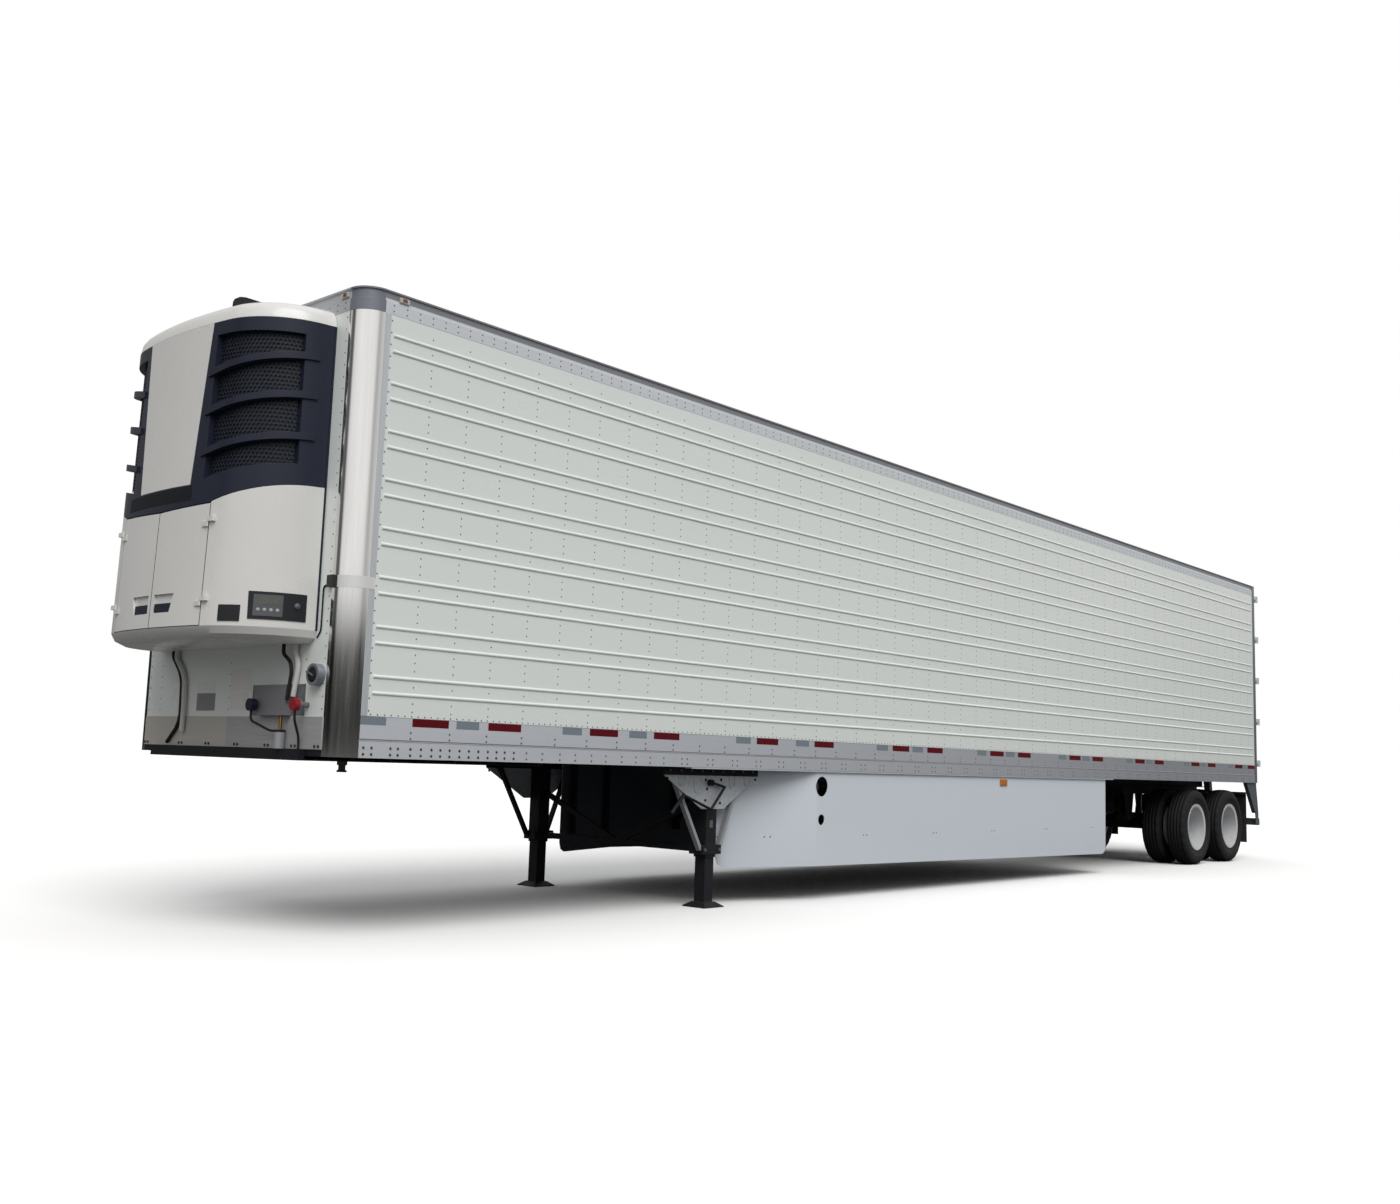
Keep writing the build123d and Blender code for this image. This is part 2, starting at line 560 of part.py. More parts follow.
for z, radius in ((FILL_Z, FILL_R), (GAUGE_Z, GAUGE_R)):
    left_skirt = left_skirt - rod((SKIRT_X - SKIRT, FILL_Y, z), (SKIRT_X + 2 * SKIRT, FILL_Y, z), radius)
save("side_skirts", left_skirt, other_side(skirt))

# Stays behind the skirts, each under a cross beam, tied by a strip; two more on the turned part
STAY_BEAMS = (12, 15, 18, 21, 24, 28)
TURNED_STAYS = (0.14, 0.80)
STAY_HALF = 40.0
STAY_DEEP = 30.0
STAY_LOW = 462.0
STAY_IN = SKIRT_X - 362.0
STRIP_LOW = 945.0
STRIP_HIGH = 985.0
STRIP_THICK = 12.0
first_stay = BEAM_START + STAY_BEAMS[0] * BEAM_PITCH
last_stay = BEAM_START + STAY_BEAMS[-1] * BEAM_PITCH
stays = span(SKIRT_X - STRIP_THICK, SKIRT_X, first_stay, last_stay, STRIP_LOW, STRIP_HIGH)
for index in STAY_BEAMS:
    at = BEAM_START + index * BEAM_PITCH
    stays = stays + span(SKIRT_X - STAY_DEEP, SKIRT_X, at - STAY_HALF, at + STAY_HALF, STAY_LOW, SKIRT_TOP)
    strut_foot = (SKIRT_X - STAY_DEEP / 2, at, STAY_LOW + STAY_HALF)
    strut = bar(strut_foot, (STAY_IN, at, BEAM_FOOT), STAY_HALF, STAY_DEEP, (0, 1, 0))
    stays = stays + (strut & span(0, SKIRT_X, 0, FAR, 0, BEAM_FOOT))
turned_stays = []
for share in TURNED_STAYS:
    at = BEND_Y - share * TURNED_LONG
    stay = span(SKIRT_X - STAY_DEEP, SKIRT_X, at - STAY_HALF, at + STAY_HALF, STAY_LOW, SKIRT_TOP)
    turned_stays.append(stay.rotate(bend, -TURNED_ANGLE))
save("skirt_stays", both(stays), *[both(stay) for stay in turned_stays])

# Fuel tank across the frame behind the left skirt, hung on two straps
TANK_R = 285.0
TANK_Z = 800.0
TANK_IN = 120.0
TANK_OUT = SKIRT_X - 142.0
NECK_OUT = SKIRT_X - 60.0
NECK_R = 42.0
STRAP_WIDE = 20.0
TANK_STRAP = 6.0
tank = rod((TANK_IN, FILL_Y, TANK_Z), (TANK_OUT, FILL_Y, TANK_Z), TANK_R)
tank = tank + rod((TANK_OUT, FILL_Y, FILL_Z), (NECK_OUT, FILL_Y, FILL_Z), NECK_R)
for share in (0.18, 0.82):
    x = TANK_IN + share * (TANK_OUT - TANK_IN)
    x0 = x - STRAP_WIDE
    x1 = x + STRAP_WIDE
    tank = tank + rod((x0, FILL_Y, TANK_Z), (x1, FILL_Y, TANK_Z), TANK_R + TANK_STRAP)
    for y in (FILL_Y - TANK_R, FILL_Y + TANK_R):
        tank = tank + span(x0, x1, y - TANK_STRAP, y + TANK_STRAP, TANK_Z, BEAM_FOOT)
save("fuel_tank", tank)

# Body rails that carry the slider
BODY_RAIL_X = 500.0
BODY_RAIL_LOW = BEAM_FOOT - 104.0
BODY_RAIL_FRONT = AXLES[0] - 4041.0
BODY_RAIL_REAR = FRAME_FRONT - 14.0
RAIL_FLANGE = 60.0
RAIL_PLATE = 12.0
web_in = BODY_RAIL_X - RAIL_PLATE / 2
web_out = BODY_RAIL_X + RAIL_PLATE / 2
body_rail = span(web_in, web_out, BODY_RAIL_FRONT, BODY_RAIL_REAR, BODY_RAIL_LOW, BEAM_FOOT)
flange_x = (BODY_RAIL_X - RAIL_FLANGE, BODY_RAIL_X + RAIL_FLANGE)
for low in (BODY_RAIL_LOW, BEAM_FOOT - RAIL_PLATE):
    body_rail = body_rail + span(*flange_x, BODY_RAIL_FRONT, BODY_RAIL_REAR, low, low + RAIL_PLATE)
save("body_rails", both(body_rail))

# Slider: rails, cross pieces, hangers and flap bars
SLIDE_TOP = BODY_RAIL_LOW - RUN_GAP
SLIDE_LOW = SLIDE_TOP - 106.0
SLIDE_HALF = 55.0
SLIDE_FRONT = AXLES[0] - 760.0
SLIDE_REAR = AXLES[1] + 650.0
CROSS_HALF = 50.0
CROSS_INSET = 60.0
PIVOT_Z = TYRE_R + 132.0
PIVOT_AHEAD = 560.0
HANGER_PLATE = 10.0
HANGER_TOP = 150.0
HANGER_FOOT = 70.0
FLAP_Y = AXLES[1] + TYRE_R + 130.0
FLAP_BAR = 40.0
FLAP_OUT = SKIN_HALF - 3.0
slider = []
for x in (-BODY_RAIL_X, BODY_RAIL_X):
    slider.append(span(x - SLIDE_HALF, x + SLIDE_HALF, SLIDE_FRONT, SLIDE_REAR, SLIDE_LOW, SLIDE_TOP))
cross_x = BODY_RAIL_X - SLIDE_HALF
for at in (SLIDE_FRONT + CROSS_INSET, (AXLES[0] + AXLES[1]) / 2, SLIDE_REAR - CROSS_INSET):
    slider.append(span(-cross_x, cross_x, at - CROSS_HALF, at + CROSS_HALF, SLIDE_LOW, SLIDE_TOP - HANGER_PLATE))
for axle in AXLES:
    at = axle - PIVOT_AHEAD
    outline = [
        (at - HANGER_TOP, SLIDE_LOW),
        (at + HANGER_TOP, SLIDE_LOW),
        (at + HANGER_FOOT, PIVOT_Z - HANGER_FOOT),
        (at - HANGER_FOOT, PIVOT_Z - HANGER_FOOT),
    ]
    for x in (-BODY_RAIL_X, BODY_RAIL_X):
        for edge in (x - SLIDE_HALF, x + SLIDE_HALF - HANGER_PLATE):
            slider.append(prism(outline, "x", edge, edge + HANGER_PLATE))
bar_low = SLIDE_LOW + FLAP_BAR / 2
for x0, x1 in ((-FLAP_OUT, -BODY_RAIL_X - SLIDE_HALF), (BODY_RAIL_X + SLIDE_HALF, FLAP_OUT)):
    slider.append(span(x0, x1, FLAP_Y - FLAP_BAR, FLAP_Y, bar_low, bar_low + FLAP_BAR))
save("slider_frame", joined(slider))

# Suspension: trailing arms, air springs, shock absorbers, axles and brake gear
AXLE_R = 64.0
AXLE_HALF = TRACK_HALF - 384.0
HUB_BORE = 46.0
SPINDLE_HALF = TRACK_HALF + 50.0
ARM_HALF = SLIDE_HALF - HANGER_PLATE - RUN_GAP
ARM_EYE = 60.0
ARM_THICK = 15.0
SPRING_BEHIND = 330.0
SPRING_END = 120.0
SPRING_R = 135.0
SPRING_FOOT = 110.0
SPRING_NECK = 60.0
SPRING_PLATE = 10.0
SHOCK_R = 32.0
SHOCK_IN = 120.0
SHOCK_EYE = 22.0
SHOCK_EYE_Y = 70.0
SHOCK_EYE_Z = 50.0
SHOCK_TOP_Y = 190.0
CHAMBER_R = 85.0
CHAMBER_IN = 200.0
CHAMBER_FRONT = 260.0
CHAMBER_REAR = 90.0
CHAMBER_UP = 60.0
BRACKET = 25.0
arms = []
springs = []
shocks = []
axle_tubes = []
chambers = []
for axle in AXLES:
    tube = rod((-AXLE_HALF, axle, TYRE_R), (AXLE_HALF, axle, TYRE_R), AXLE_R)
    axle_tubes.append(tube + rod((-SPINDLE_HALF, axle, TYRE_R), (SPINDLE_HALF, axle, TYRE_R), HUB_BORE - RUN_GAP))
    seat = TYRE_R + AXLE_R
    eye = axle - PIVOT_AHEAD
    arm_outline = [
        (eye, PIVOT_Z - 3 * ARM_THICK),
        (eye, PIVOT_Z + 3 * ARM_THICK),
        (axle, PIVOT_Z + ARM_THICK),
        (axle + SPRING_BEHIND + SPRING_END, PIVOT_Z + ARM_THICK),
        (axle + SPRING_BEHIND + SPRING_END, PIVOT_Z - ARM_THICK),
        (axle + AXLE_R + 3 * ARM_THICK, PIVOT_Z - 2 * ARM_THICK),
        (axle + AXLE_R + ARM_THICK, seat),
        (axle - AXLE_R - ARM_THICK, seat),
        (axle - AXLE_R - 3 * ARM_THICK, PIVOT_Z - 3 * ARM_THICK),
    ]
    for side in (-1, 1):
        x = side * BODY_RAIL_X
        arm = rod((x - ARM_HALF, eye, PIVOT_Z), (x + ARM_HALF, eye, PIVOT_Z), ARM_EYE)
        arms.append(arm + prism(arm_outline, "x", x - ARM_HALF, x + ARM_HALF))
        at = axle + SPRING_BEHIND
        low = PIVOT_Z + ARM_THICK
        bag_high = SLIDE_LOW - low - SPRING_NECK - SPRING_PLATE
        bag = Solid.make_cone(SPRING_FOOT, SPRING_R, SPRING_NECK, Plane((x, at, low)))
        bag = bag + Solid.make_cylinder(SPRING_R, bag_high, Plane((x, at, low + SPRING_NECK)))
        springs.append(bag + Solid.make_cylinder(SPRING_FOOT, SPRING_PLATE, Plane((x, at, SLIDE_LOW - SPRING_PLATE))))
        inner = x - side * SHOCK_IN
        eye_y = axle + SHOCK_EYE_Y
        eye_z = TYRE_R + SHOCK_EYE_Z
        top = (inner, axle + SHOCK_TOP_Y, SLIDE_LOW + SHOCK_R)
        shock = rod((inner, eye_y + ARM_THICK, eye_z + ARM_THICK), top, SHOCK_R)
        shock = shock + rod((inner - SHOCK_R, eye_y, eye_z), (inner + SHOCK_R, eye_y, eye_z), SHOCK_EYE)
        rail_face = (x - side * SLIDE_HALF, top[1], top[2])
        shocks.append(shock + rod((inner - side * SHOCK_R, top[1], top[2]), rail_face, SHOCK_EYE))
        place = x - side * CHAMBER_IN
        height = TYRE_R + CHAMBER_UP
        back = axle - CHAMBER_REAR
        chamber = rod((place, axle - CHAMBER_FRONT, height), (place, back, height), CHAMBER_R)
        foot_x = (place - BRACKET, place + BRACKET)
        chamber = chamber + span(*foot_x, back - BRACKET, axle, TYRE_R - BRACKET, TYRE_R + BRACKET)
        tube_space = rod((place - CHAMBER_R, axle, TYRE_R), (place + CHAMBER_R, axle, TYRE_R), AXLE_R)
        chambers.append(chamber - tube_space)
save("trailing_arms", *arms)
save("air_springs", *springs)
save("shock_absorbers", *shocks)
save("axles", *axle_tubes)
RESERVOIR_R = 115.0
RESERVOIR_HALF = cross_x - 45.0
SADDLE = 30.0
tank_y = SLIDE_FRONT + CROSS_INSET
tank_z = SLIDE_LOW - RESERVOIR_R - SADDLE / 2
reservoir = rod((-RESERVOIR_HALF, tank_y, tank_z), (RESERVOIR_HALF, tank_y, tank_z), RESERVOIR_R)
for x in (-RESERVOIR_HALF / 2, RESERVOIR_HALF / 2):
    saddle_y = (tank_y - CROSS_HALF, tank_y + CROSS_HALF)
    reservoir = reservoir + span(x - SADDLE, x + SADDLE, *saddle_y, SLIDE_LOW - 2 * SADDLE, SLIDE_LOW)
save("air_brake_gear", *chambers, reservoir)
FLAP_THICK = 8.0
FLAP_LOW = 260.0
FLAP_IN = TRACK_HALF - 294.0
save("mud_flaps", both(span(FLAP_IN, FLAP_OUT, FLAP_Y, FLAP_Y + FLAP_THICK, FLAP_LOW, bar_low + FLAP_BAR)))

# Twin wheels: two tyres, and the two rims with drum and hub as one turned piece
BEAD_SEAT = 107.5
WALL_FOOT = 103.0
TREAD_HALF = 132.0
RIM_FLANGE = 26.0
RIM_THICK = 12.0
RIM_LIP = 8.5
RIM_IN = RIM_R - RIM_THICK
RIM_UP = RIM_R + RIM_FLANGE
# tyre columns: reach from the tyre's middle, radius
TYRE_SHAPE = ((-WALL_FOOT, RIM_R), (-TREAD_HALF, TYRE_R), (TREAD_HALF, TYRE_R), (WALL_FOOT, RIM_R))
EDGE_X = DUAL_HALF + BEAD_SEAT
DRUM_R = 212.0
WELL_X = 66.0
WELL_STEP = 10.0
# wheel columns: reach from the middle of the pair, radius
WHEEL_SHAPE = (
    (-340.0, HUB_BORE),
    (-340.0, DRUM_R),
    (-40.0, DRUM_R),
    (-12.0, DRUM_R + 18.0),
    (-WELL_X, RIM_IN - WELL_STEP),
    (-WELL_X, RIM_IN),
    (-EDGE_X, RIM_IN),
    (-EDGE_X - RIM_LIP, RIM_UP),
    (-EDGE_X, RIM_UP),
    (-EDGE_X, RIM_R),
    (EDGE_X, RIM_R),
    (EDGE_X, RIM_UP),
    (EDGE_X + RIM_LIP, RIM_UP),
    (EDGE_X, RIM_IN),
    (WELL_X, RIM_IN),
    (WELL_X, RIM_IN - WELL_STEP),
    (20.0, 235.0),
    (12.0, 205.0),
    (12.0, 150.0),
    (40.0, 112.0),
    (120.0, 100.0),
    (132.0, 82.0),
    (132.0, 0.0),
    (70.0, 0.0),
    (70.0, HUB_BORE),
)
for axle, place in zip(AXLES, ("front", "rear")):
    tyres = []
    for offset in (-DUAL_HALF, DUAL_HALF):
        tyres.append(turned(TYRE_SHAPE, TRACK_HALF + offset, axle, TYRE_R))
    wheel = turned(WHEEL_SHAPE, TRACK_HALF, axle, TYRE_R)
    save("tyres_" + place + "_left", *tyres)
    save("tyres_" + place + "_right", *[other_side(tyre) for tyre in tyres])
    save("wheels_" + place + "_left", wheel)
    save("wheels_" + place + "_right", other_side(wheel))

# Rear guard under the sill
GUARD_Y = BOX_LENGTH + REAR_REACH
GUARD_HALF = SKIN_HALF - 17.5
GUARD_LOW = 500.0
GUARD_TUBE = 100.0
GUARD_HIGH = GUARD_LOW + GUARD_TUBE
GUARD_POST_X = 560.0
GUARD_POST = 45.0
GUARD_PLATE = 10.0
GUARD_FLANGE = 55.0
UPRIGHT_TOP = 405.0
UPRIGHT_NECK = GUARD_HIGH + 80.0
UPRIGHT_BACK = GUARD_Y - 40.0
UPRIGHT_FRONT = GUARD_Y - GUARD_TUBE - 50.0
NECK_FRONT = UPRIGHT_FRONT - 20.0
guard = span(-GUARD_HALF, GUARD_HALF, GUARD_Y - GUARD_TUBE, GUARD_Y, GUARD_LOW, GUARD_HIGH)
post_outline = [
    (FRAME_FRONT, RAIL_BOTTOM),
    (FRAME_REAR, RAIL_BOTTOM),
    (GUARD_Y - GUARD_PLATE, GUARD_HIGH),
    (GUARD_Y - GUARD_TUBE, GUARD_HIGH),
]
for x in (-GUARD_POST_X, GUARD_POST_X):
    guard = guard + prism(post_outline, "x", x - GUARD_POST, x + GUARD_POST)
# outer uprights: a tapered side plate with a flange along its front and rear edges
upright_top = FRAME_REAR - UPRIGHT_TOP
side_plate = [
    (upright_top, RAIL_BOTTOM),
    (FRAME_REAR, RAIL_BOTTOM),
    (UPRIGHT_BACK, UPRIGHT_NECK),
    (UPRIGHT_BACK, GUARD_LOW),
    (UPRIGHT_FRONT, GUARD_LOW),
    (UPRIGHT_FRONT, GUARD_HIGH),
    (NECK_FRONT, UPRIGHT_NECK),
]
front_flange = [
    (upright_top, RAIL_BOTTOM),
    (upright_top + GUARD_PLATE, RAIL_BOTTOM),
    (NECK_FRONT + GUARD_PLATE, UPRIGHT_NECK),
    (NECK_FRONT, UPRIGHT_NECK),
]
rear_flange = [
    (FRAME_REAR - GUARD_PLATE, RAIL_BOTTOM),
    (FRAME_REAR, RAIL_BOTTOM),
    (UPRIGHT_BACK, UPRIGHT_NECK),
    (UPRIGHT_BACK - GUARD_PLATE, UPRIGHT_NECK),
]
upright = prism(side_plate, "x", GUARD_HALF - GUARD_PLATE, GUARD_HALF)
for flange in (front_flange, rear_flange):
    upright = upright + prism(flange, "x", GUARD_HALF - GUARD_FLANGE, GUARD_HALF)
save("rear_guard", joined([guard] + both(upright)))

# Refrigeration unit
# plan points: x, depth ahead of the wall; each corner is an arc through its middle point
SIDE = (UNIT_HALF - 10.0, 60.0)
CORNER_MID = (UNIT_HALF - 110.0, UNIT_REACH - 250.0)
CORNER_END = (UNIT_HALF - 440.0, UNIT_REACH - 45.0)
FRONT_MID = (0.0, UNIT_REACH)


def unit_outline(z, wide, deep):
    """Plan of the unit at one height, from the wall round the front."""
    def at(point, side=1):
        return (side * point[0] * wide, -point[1] * deep, z)

    edges = [Edge.make_line((UNIT_HALF * wide, 0, z), at(SIDE))]
    edges.append(Edge.make_three_point_arc(at(SIDE), at(CORNER_MID), at(CORNER_END)))
    edges.append(Edge.make_three_point_arc(at(CORNER_END), at(FRONT_MID), at(CORNER_END, -1)))
    edges.append(Edge.make_three_point_arc(at(CORNER_END, -1), at(CORNER_MID, -1), at(SIDE, -1)))
    edges.append(Edge.make_line(at(SIDE, -1), (-UNIT_HALF * wide, 0, z)))
    edges.append(Edge.make_line((-UNIT_HALF * wide, 0, z), (UNIT_HALF * wide, 0, z)))
    return Wire(edges)


# section columns: height, share of the width, share of the depth
LEAN = 0.085
PAN_SECTIONS = ((UNIT_BOTTOM, 0.93, 0.85), (UNIT_BOTTOM + 30.0, 0.985, 0.955), (UNIT_SEAM, 1.0, 1.0))
BODY_SECTIONS = ((UNIT_SEAM, 1.0, 1.0), (UNIT_GRILLE_TOP, 1.0, 1.0 - LEAN))
CAP_SECTIONS = (
    (UNIT_GRILLE_TOP, 1.0, 1.0 - LEAN),
    (UNIT_GRILLE_TOP + 60.0, 0.988, 0.895),
    (UNIT_GRILLE_TOP + 98.0, 0.96, 0.855),
    (UNIT_GRILLE_TOP + 118.0, 0.92, 0.80),
)
PANEL = 22.0
BACK = 14.0
WALL_CLEAR = 3.0


def unit_block(sections, inset):
    """The unit's form between its sections, made smaller all round by an inset."""
    wires = []
    for z, wide, deep in sections:
        wires.append(unit_outline(z, wide - inset / UNIT_HALF, deep - inset / UNIT_REACH))
    return Solid.make_loft(wires, True)


def body_shell(shallow, deep):
    """Layer of the unit's body between two insets, clear of the back frame."""
    layer = unit_block(BODY_SECTIONS, shallow) - unit_block(BODY_SECTIONS, deep)
    return layer - span(-FAR, FAR, -BACK, FAR, 0, FAR)


save("unit_frame", span(-UNIT_HALF, UNIT_HALF, -BACK, 0, UNIT_SEAM, UNIT_GRILLE_TOP))
tray = unit_block(PAN_SECTIONS, 0) - Pos(0, 0, PANEL) * unit_block(PAN_SECTIONS, PANEL)
save("unit_base_pan", tray)
cover = unit_block(CAP_SECTIONS, 0) - Pos(0, 0, -PANEL) * unit_block(CAP_SECTIONS, PANEL)
save("unit_top_cap", cover - span(-FAR, FAR, -WALL_CLEAR, FAR, 0, FAR))

# The body's front: a middle panel that tapers, a black surround, and lower panels under it
SEAM = 3.0
MID_TOP = 412.0
MID_FOOT = 328.0
MID_LOW = UNIT_BAND + 130.0
DOOR_OUT = 556.0
BAND_MID = UNIT_BAND - 20.0
BAND_SIDE = UNIT_BAND + 132.0
mid_outline = [
    (-MID_TOP, UNIT_GRILLE_TOP),
    (MID_TOP, UNIT_GRILLE_TOP),
    (MID_FOOT, MID_LOW),
    (-MID_FOOT, MID_LOW),
]
mid_zone = prism(mid_outline, "y", -FAR, FAR)
low_outline = [
    (-UNIT_HALF, UNIT_SEAM),
    (UNIT_HALF, UNIT_SEAM),
    (UNIT_HALF, BAND_SIDE),
    (DOOR_OUT, UNIT_BAND),
    (0, BAND_MID),
    (-DOOR_OUT, UNIT_BAND),
    (-UNIT_HALF, BAND_SIDE),
]
low_zone = prism(low_outline, "y", -FAR, FAR)
shell = body_shell(0, PANEL)
save("unit_front_panel", shell & mid_zone)

# Black surround: two mesh floors set back in openings, with three sloping slats across each
SURROUND = 60.0
MESH_DEEP = 44.0
OPEN_IN = 462.0
OPEN_BACK = 195.0
OPEN_TOP = UNIT_GRILLE_TOP - 90.0
OPEN_LOW = UNIT_BAND + 158.0
OPEN_REACH = 1100.0
OPEN_SLOPE = 0.2
SLAT_HIGH = 46.0
SLAT_STEPS = (0.245, 0.515, 0.80)
SLAT_OUT = -14.0
SLAT_DEEP = 26.0
SLAT_IN = OPEN_IN - 40.0
SLAT_BACK = OPEN_BACK - 90.0
grille = body_shell(0, SURROUND) - low_zone - mid_zone
mesh_layer = body_shell(0, MESH_DEEP)
slat_layer = body_shell(SLAT_OUT, SLAT_DEEP)
for side in (-1, 1):
    rise = OPEN_SLOPE * (OPEN_REACH - OPEN_IN)
    opening = [
        (side * OPEN_IN, OPEN_LOW),
        (side * OPEN_REACH, OPEN_LOW + rise),
        (side * OPEN_REACH, OPEN_TOP),
        (side * OPEN_IN, OPEN_TOP),
    ]
    grille = grille - (mesh_layer & prism(opening, "y", -FAR, -OPEN_BACK))
    for share in SLAT_STEPS:
        top = OPEN_TOP - share * (OPEN_TOP - OPEN_LOW)
        rise = OPEN_SLOPE * (OPEN_REACH - SLAT_IN)
        slat = [
            (side * SLAT_IN, top - SLAT_HIGH),
            (side * OPEN_REACH, top - SLAT_HIGH + rise),
            (side * OPEN_REACH, top + rise),
            (side * SLAT_IN, top),
        ]
        grille = grille + (slat_layer & prism(slat, "y", -FAR, -SLAT_BACK))
save("unit_grille", grille)
lower = shell & low_zone
side_panel = lower & span(DOOR_OUT + 2 * SEAM, FAR, -FAR, FAR, 0, FAR)
save("unit_side_panels", both(side_panel))

# Lower front doors of the unit, each on two small hinges along its leaning outer edge
UNIT_PIN_X = DOOR_OUT + SEAM
UNIT_PIN_R = 6.0
UNIT_PIN_OUT = 8.0
UNIT_HINGES = (0.16, 0.80)
BARREL = 30.0
LEAF_THICK = 4.0
LEAF_WIDE = 60.0
LEAF_FOOT = 26.0
DOOR_IN = 4.5
DOOR_GAP = 8.0
POCKET_IN = 35.0
POCKET_FOOT = 232.0
POCKET_OUT = 270.0
POCKET_LOW = UNIT_SEAM + 98.0
POCKET_HIGH = UNIT_SEAM + 217.0
POCKET_DEEP = 16.0


def unit_pin(z):
    """Point of the hinge line at one height; it leans back with the body."""
    lean = LEAN * (z - UNIT_SEAM) / (UNIT_GRILLE_TOP - UNIT_SEAM)
    return (UNIT_PIN_X, -CORNER_END[1] * (1 - lean) - UNIT_PIN_OUT, z)


def unit_hinge(low, way):
    """Half of a small hinge: its barrel on the pin line, and the leaf and foot that hold it."""
    high = low + BARREL
    y = unit_pin(low)[1]
    front = y - UNIT_PIN_R
    ends = sorted((UNIT_PIN_X, UNIT_PIN_X + way * LEAF_WIDE))
    foot = sorted((UNIT_PIN_X + way * (LEAF_WIDE - LEAF_FOOT), UNIT_PIN_X + way * LEAF_WIDE))
    hinge = rod(unit_pin(low), unit_pin(high), UNIT_PIN_R)
    hinge = hinge + span(*ends, front, front + LEAF_THICK, low, high)
    return hinge + span(*foot, front, y + BARREL, low, high)


door_outline = [
    (DOOR_IN, UNIT_SEAM + 2 * SEAM),
    (DOOR_OUT, UNIT_SEAM + 2 * SEAM),
    (DOOR_OUT, UNIT_BAND - DOOR_GAP),
    (DOOR_IN, BAND_MID - DOOR_GAP),
]
unit_door = lower & prism(door_outline, "y", -FAR, FAR)
pocket = [
    (POCKET_IN, POCKET_LOW),
    (POCKET_FOOT, POCKET_LOW),
    (POCKET_OUT, POCKET_HIGH),
    (POCKET_IN, POCKET_HIGH),
]
unit_door = unit_door - (body_shell(0, POCKET_DEEP) & prism(pocket, "y", -FAR, 0))
body_form = unit_block(BODY_SECTIONS, 0)
hinge_leaves = []
for share in UNIT_HINGES:
    low = UNIT_SEAM + share * (UNIT_BAND - UNIT_SEAM)
    unit_door = unit_door + (unit_hinge(low, -1) - body_form)
    hinge_leaves.append(unit_hinge(low + BARREL + RUN_GAP, 1) - body_form)
save("unit_door_left", unit_door)
save("unit_door_right", other_side(unit_door))

# Black fittings of the unit: hinge leaves, control panel, latch paddle and roof intake
CONTROL_LOW = UNIT_SEAM + 48.0
CONTROL_HIGH = UNIT_SEAM + 218.0
CONTROL_FRONT = 400.0
CONTROL_BACK = 84.0
CONTROL_THICK = 5.0
PADDLE_IN = 700.0
PADDLE_OUT = 815.0
PADDLE_LOW = UNIT_SEAM + 30.0
PADDLE_HIGH = UNIT_SEAM + 130.0
HOOD_IN = 345.0
HOOD_OUT = 705.0
HOOD_FRONT = 380.0
HOOD_BACK = 150.0
HOOD_LOW = CAP_SECTIONS[-1][0]
# roof intake, seen from the front; columns: reach from its inner end, height over the cap
HOOD_SHAPE = ((0.0, 0.0), (7.0, 78.0), (28.0, 94.0), (95.0, 94.0), (165.0, 76.0), (HOOD_OUT - HOOD_IN, 0.0))
skin = body_shell(-CONTROL_THICK, 0)
control = skin & span(DOOR_OUT, FAR, -CONTROL_FRONT, -CONTROL_BACK, CONTROL_LOW, CONTROL_HIGH)
paddle = skin & span(PADDLE_IN, PADDLE_OUT, -FAR, 0, PADDLE_LOW, PADDLE_HIGH)
hood_outline = [(HOOD_IN + a, HOOD_LOW + z) for a, z in HOOD_SHAPE]
hood = prism(hood_outline, "y", -HOOD_FRONT, -HOOD_BACK)
save("unit_fittings", control, paddle, hood, *[both(leaf) for leaf in hinge_leaves])

# Engine and compressor as one block
ENGINE_HALF = 420.0
ENGINE_FRONT = UNIT_REACH - 180.0
ENGINE_HIGH = UNIT_SEAM + 745.0
save("unit_engine", span(-ENGINE_HALF, ENGINE_HALF, -ENGINE_FRONT, -BACK, UNIT_BOTTOM + PANEL, ENGINE_HIGH))

# Front fittings: nose box on its plate, two air couplings, socket fitting and the fresh air vent
PLATE_IN = 300.0
PLATE_OUT = 915.0
PLATE_LOW = KICK_TOP + 6.0
PLATE_HIGH = KICK_TOP + 204.0
PLATE_THICK = 4.0
NOSE_IN = 400.0
NOSE_OUT = 775.0
NOSE_DEEP = 50.0
HAND_Z = PLATE_LOW + 66.0
HAND_DISC = 40.0
HAND_FRONT = 110.0
HAND_THICK = 42.0
HAND_NECK = 18.0
SERVICE_X = 440.0
EMERGENCY_X = 950.0
SOCKET_X = 715.0
SOCKET_R = 34.0
SOCKET_HIGH = PLATE_LOW - 90.0
VENT_X = 1055.0
VENT_Z = PLATE_HIGH + 55.0
VENT_R = 68.0
VENT_DEEP = 52.0


def air_coupling(x, back):
    """Coupling head on a short neck from what carries it."""
    head = rod((x, -HAND_FRONT, HAND_Z), (x, -HAND_FRONT + HAND_THICK, HAND_Z), HAND_DISC)
    return head + rod((x, -HAND_FRONT + HAND_THICK / 2, HAND_Z), (x, back, HAND_Z), HAND_NECK)


nose_box = span(PLATE_IN, PLATE_OUT, -PLATE_THICK, 0, PLATE_LOW, PLATE_HIGH)
nose_box = nose_box + span(NOSE_IN, NOSE_OUT, -NOSE_DEEP, 0, PLATE_LOW, PLATE_HIGH - PLATE_THICK)
nose_box = nose_box + air_coupling(SERVICE_X, -NOSE_DEEP / 2)
socket_y = -KICK_THICK - SOCKET_R - RUN_GAP
socket = rod((SOCKET_X, socket_y, NOSE_BAR_TOP), (SOCKET_X, socket_y, SOCKET_HIGH), SOCKET_R)
vent = rod((VENT_X, 0, VENT_Z), (VENT_X, -VENT_DEEP, VENT_Z), VENT_R)
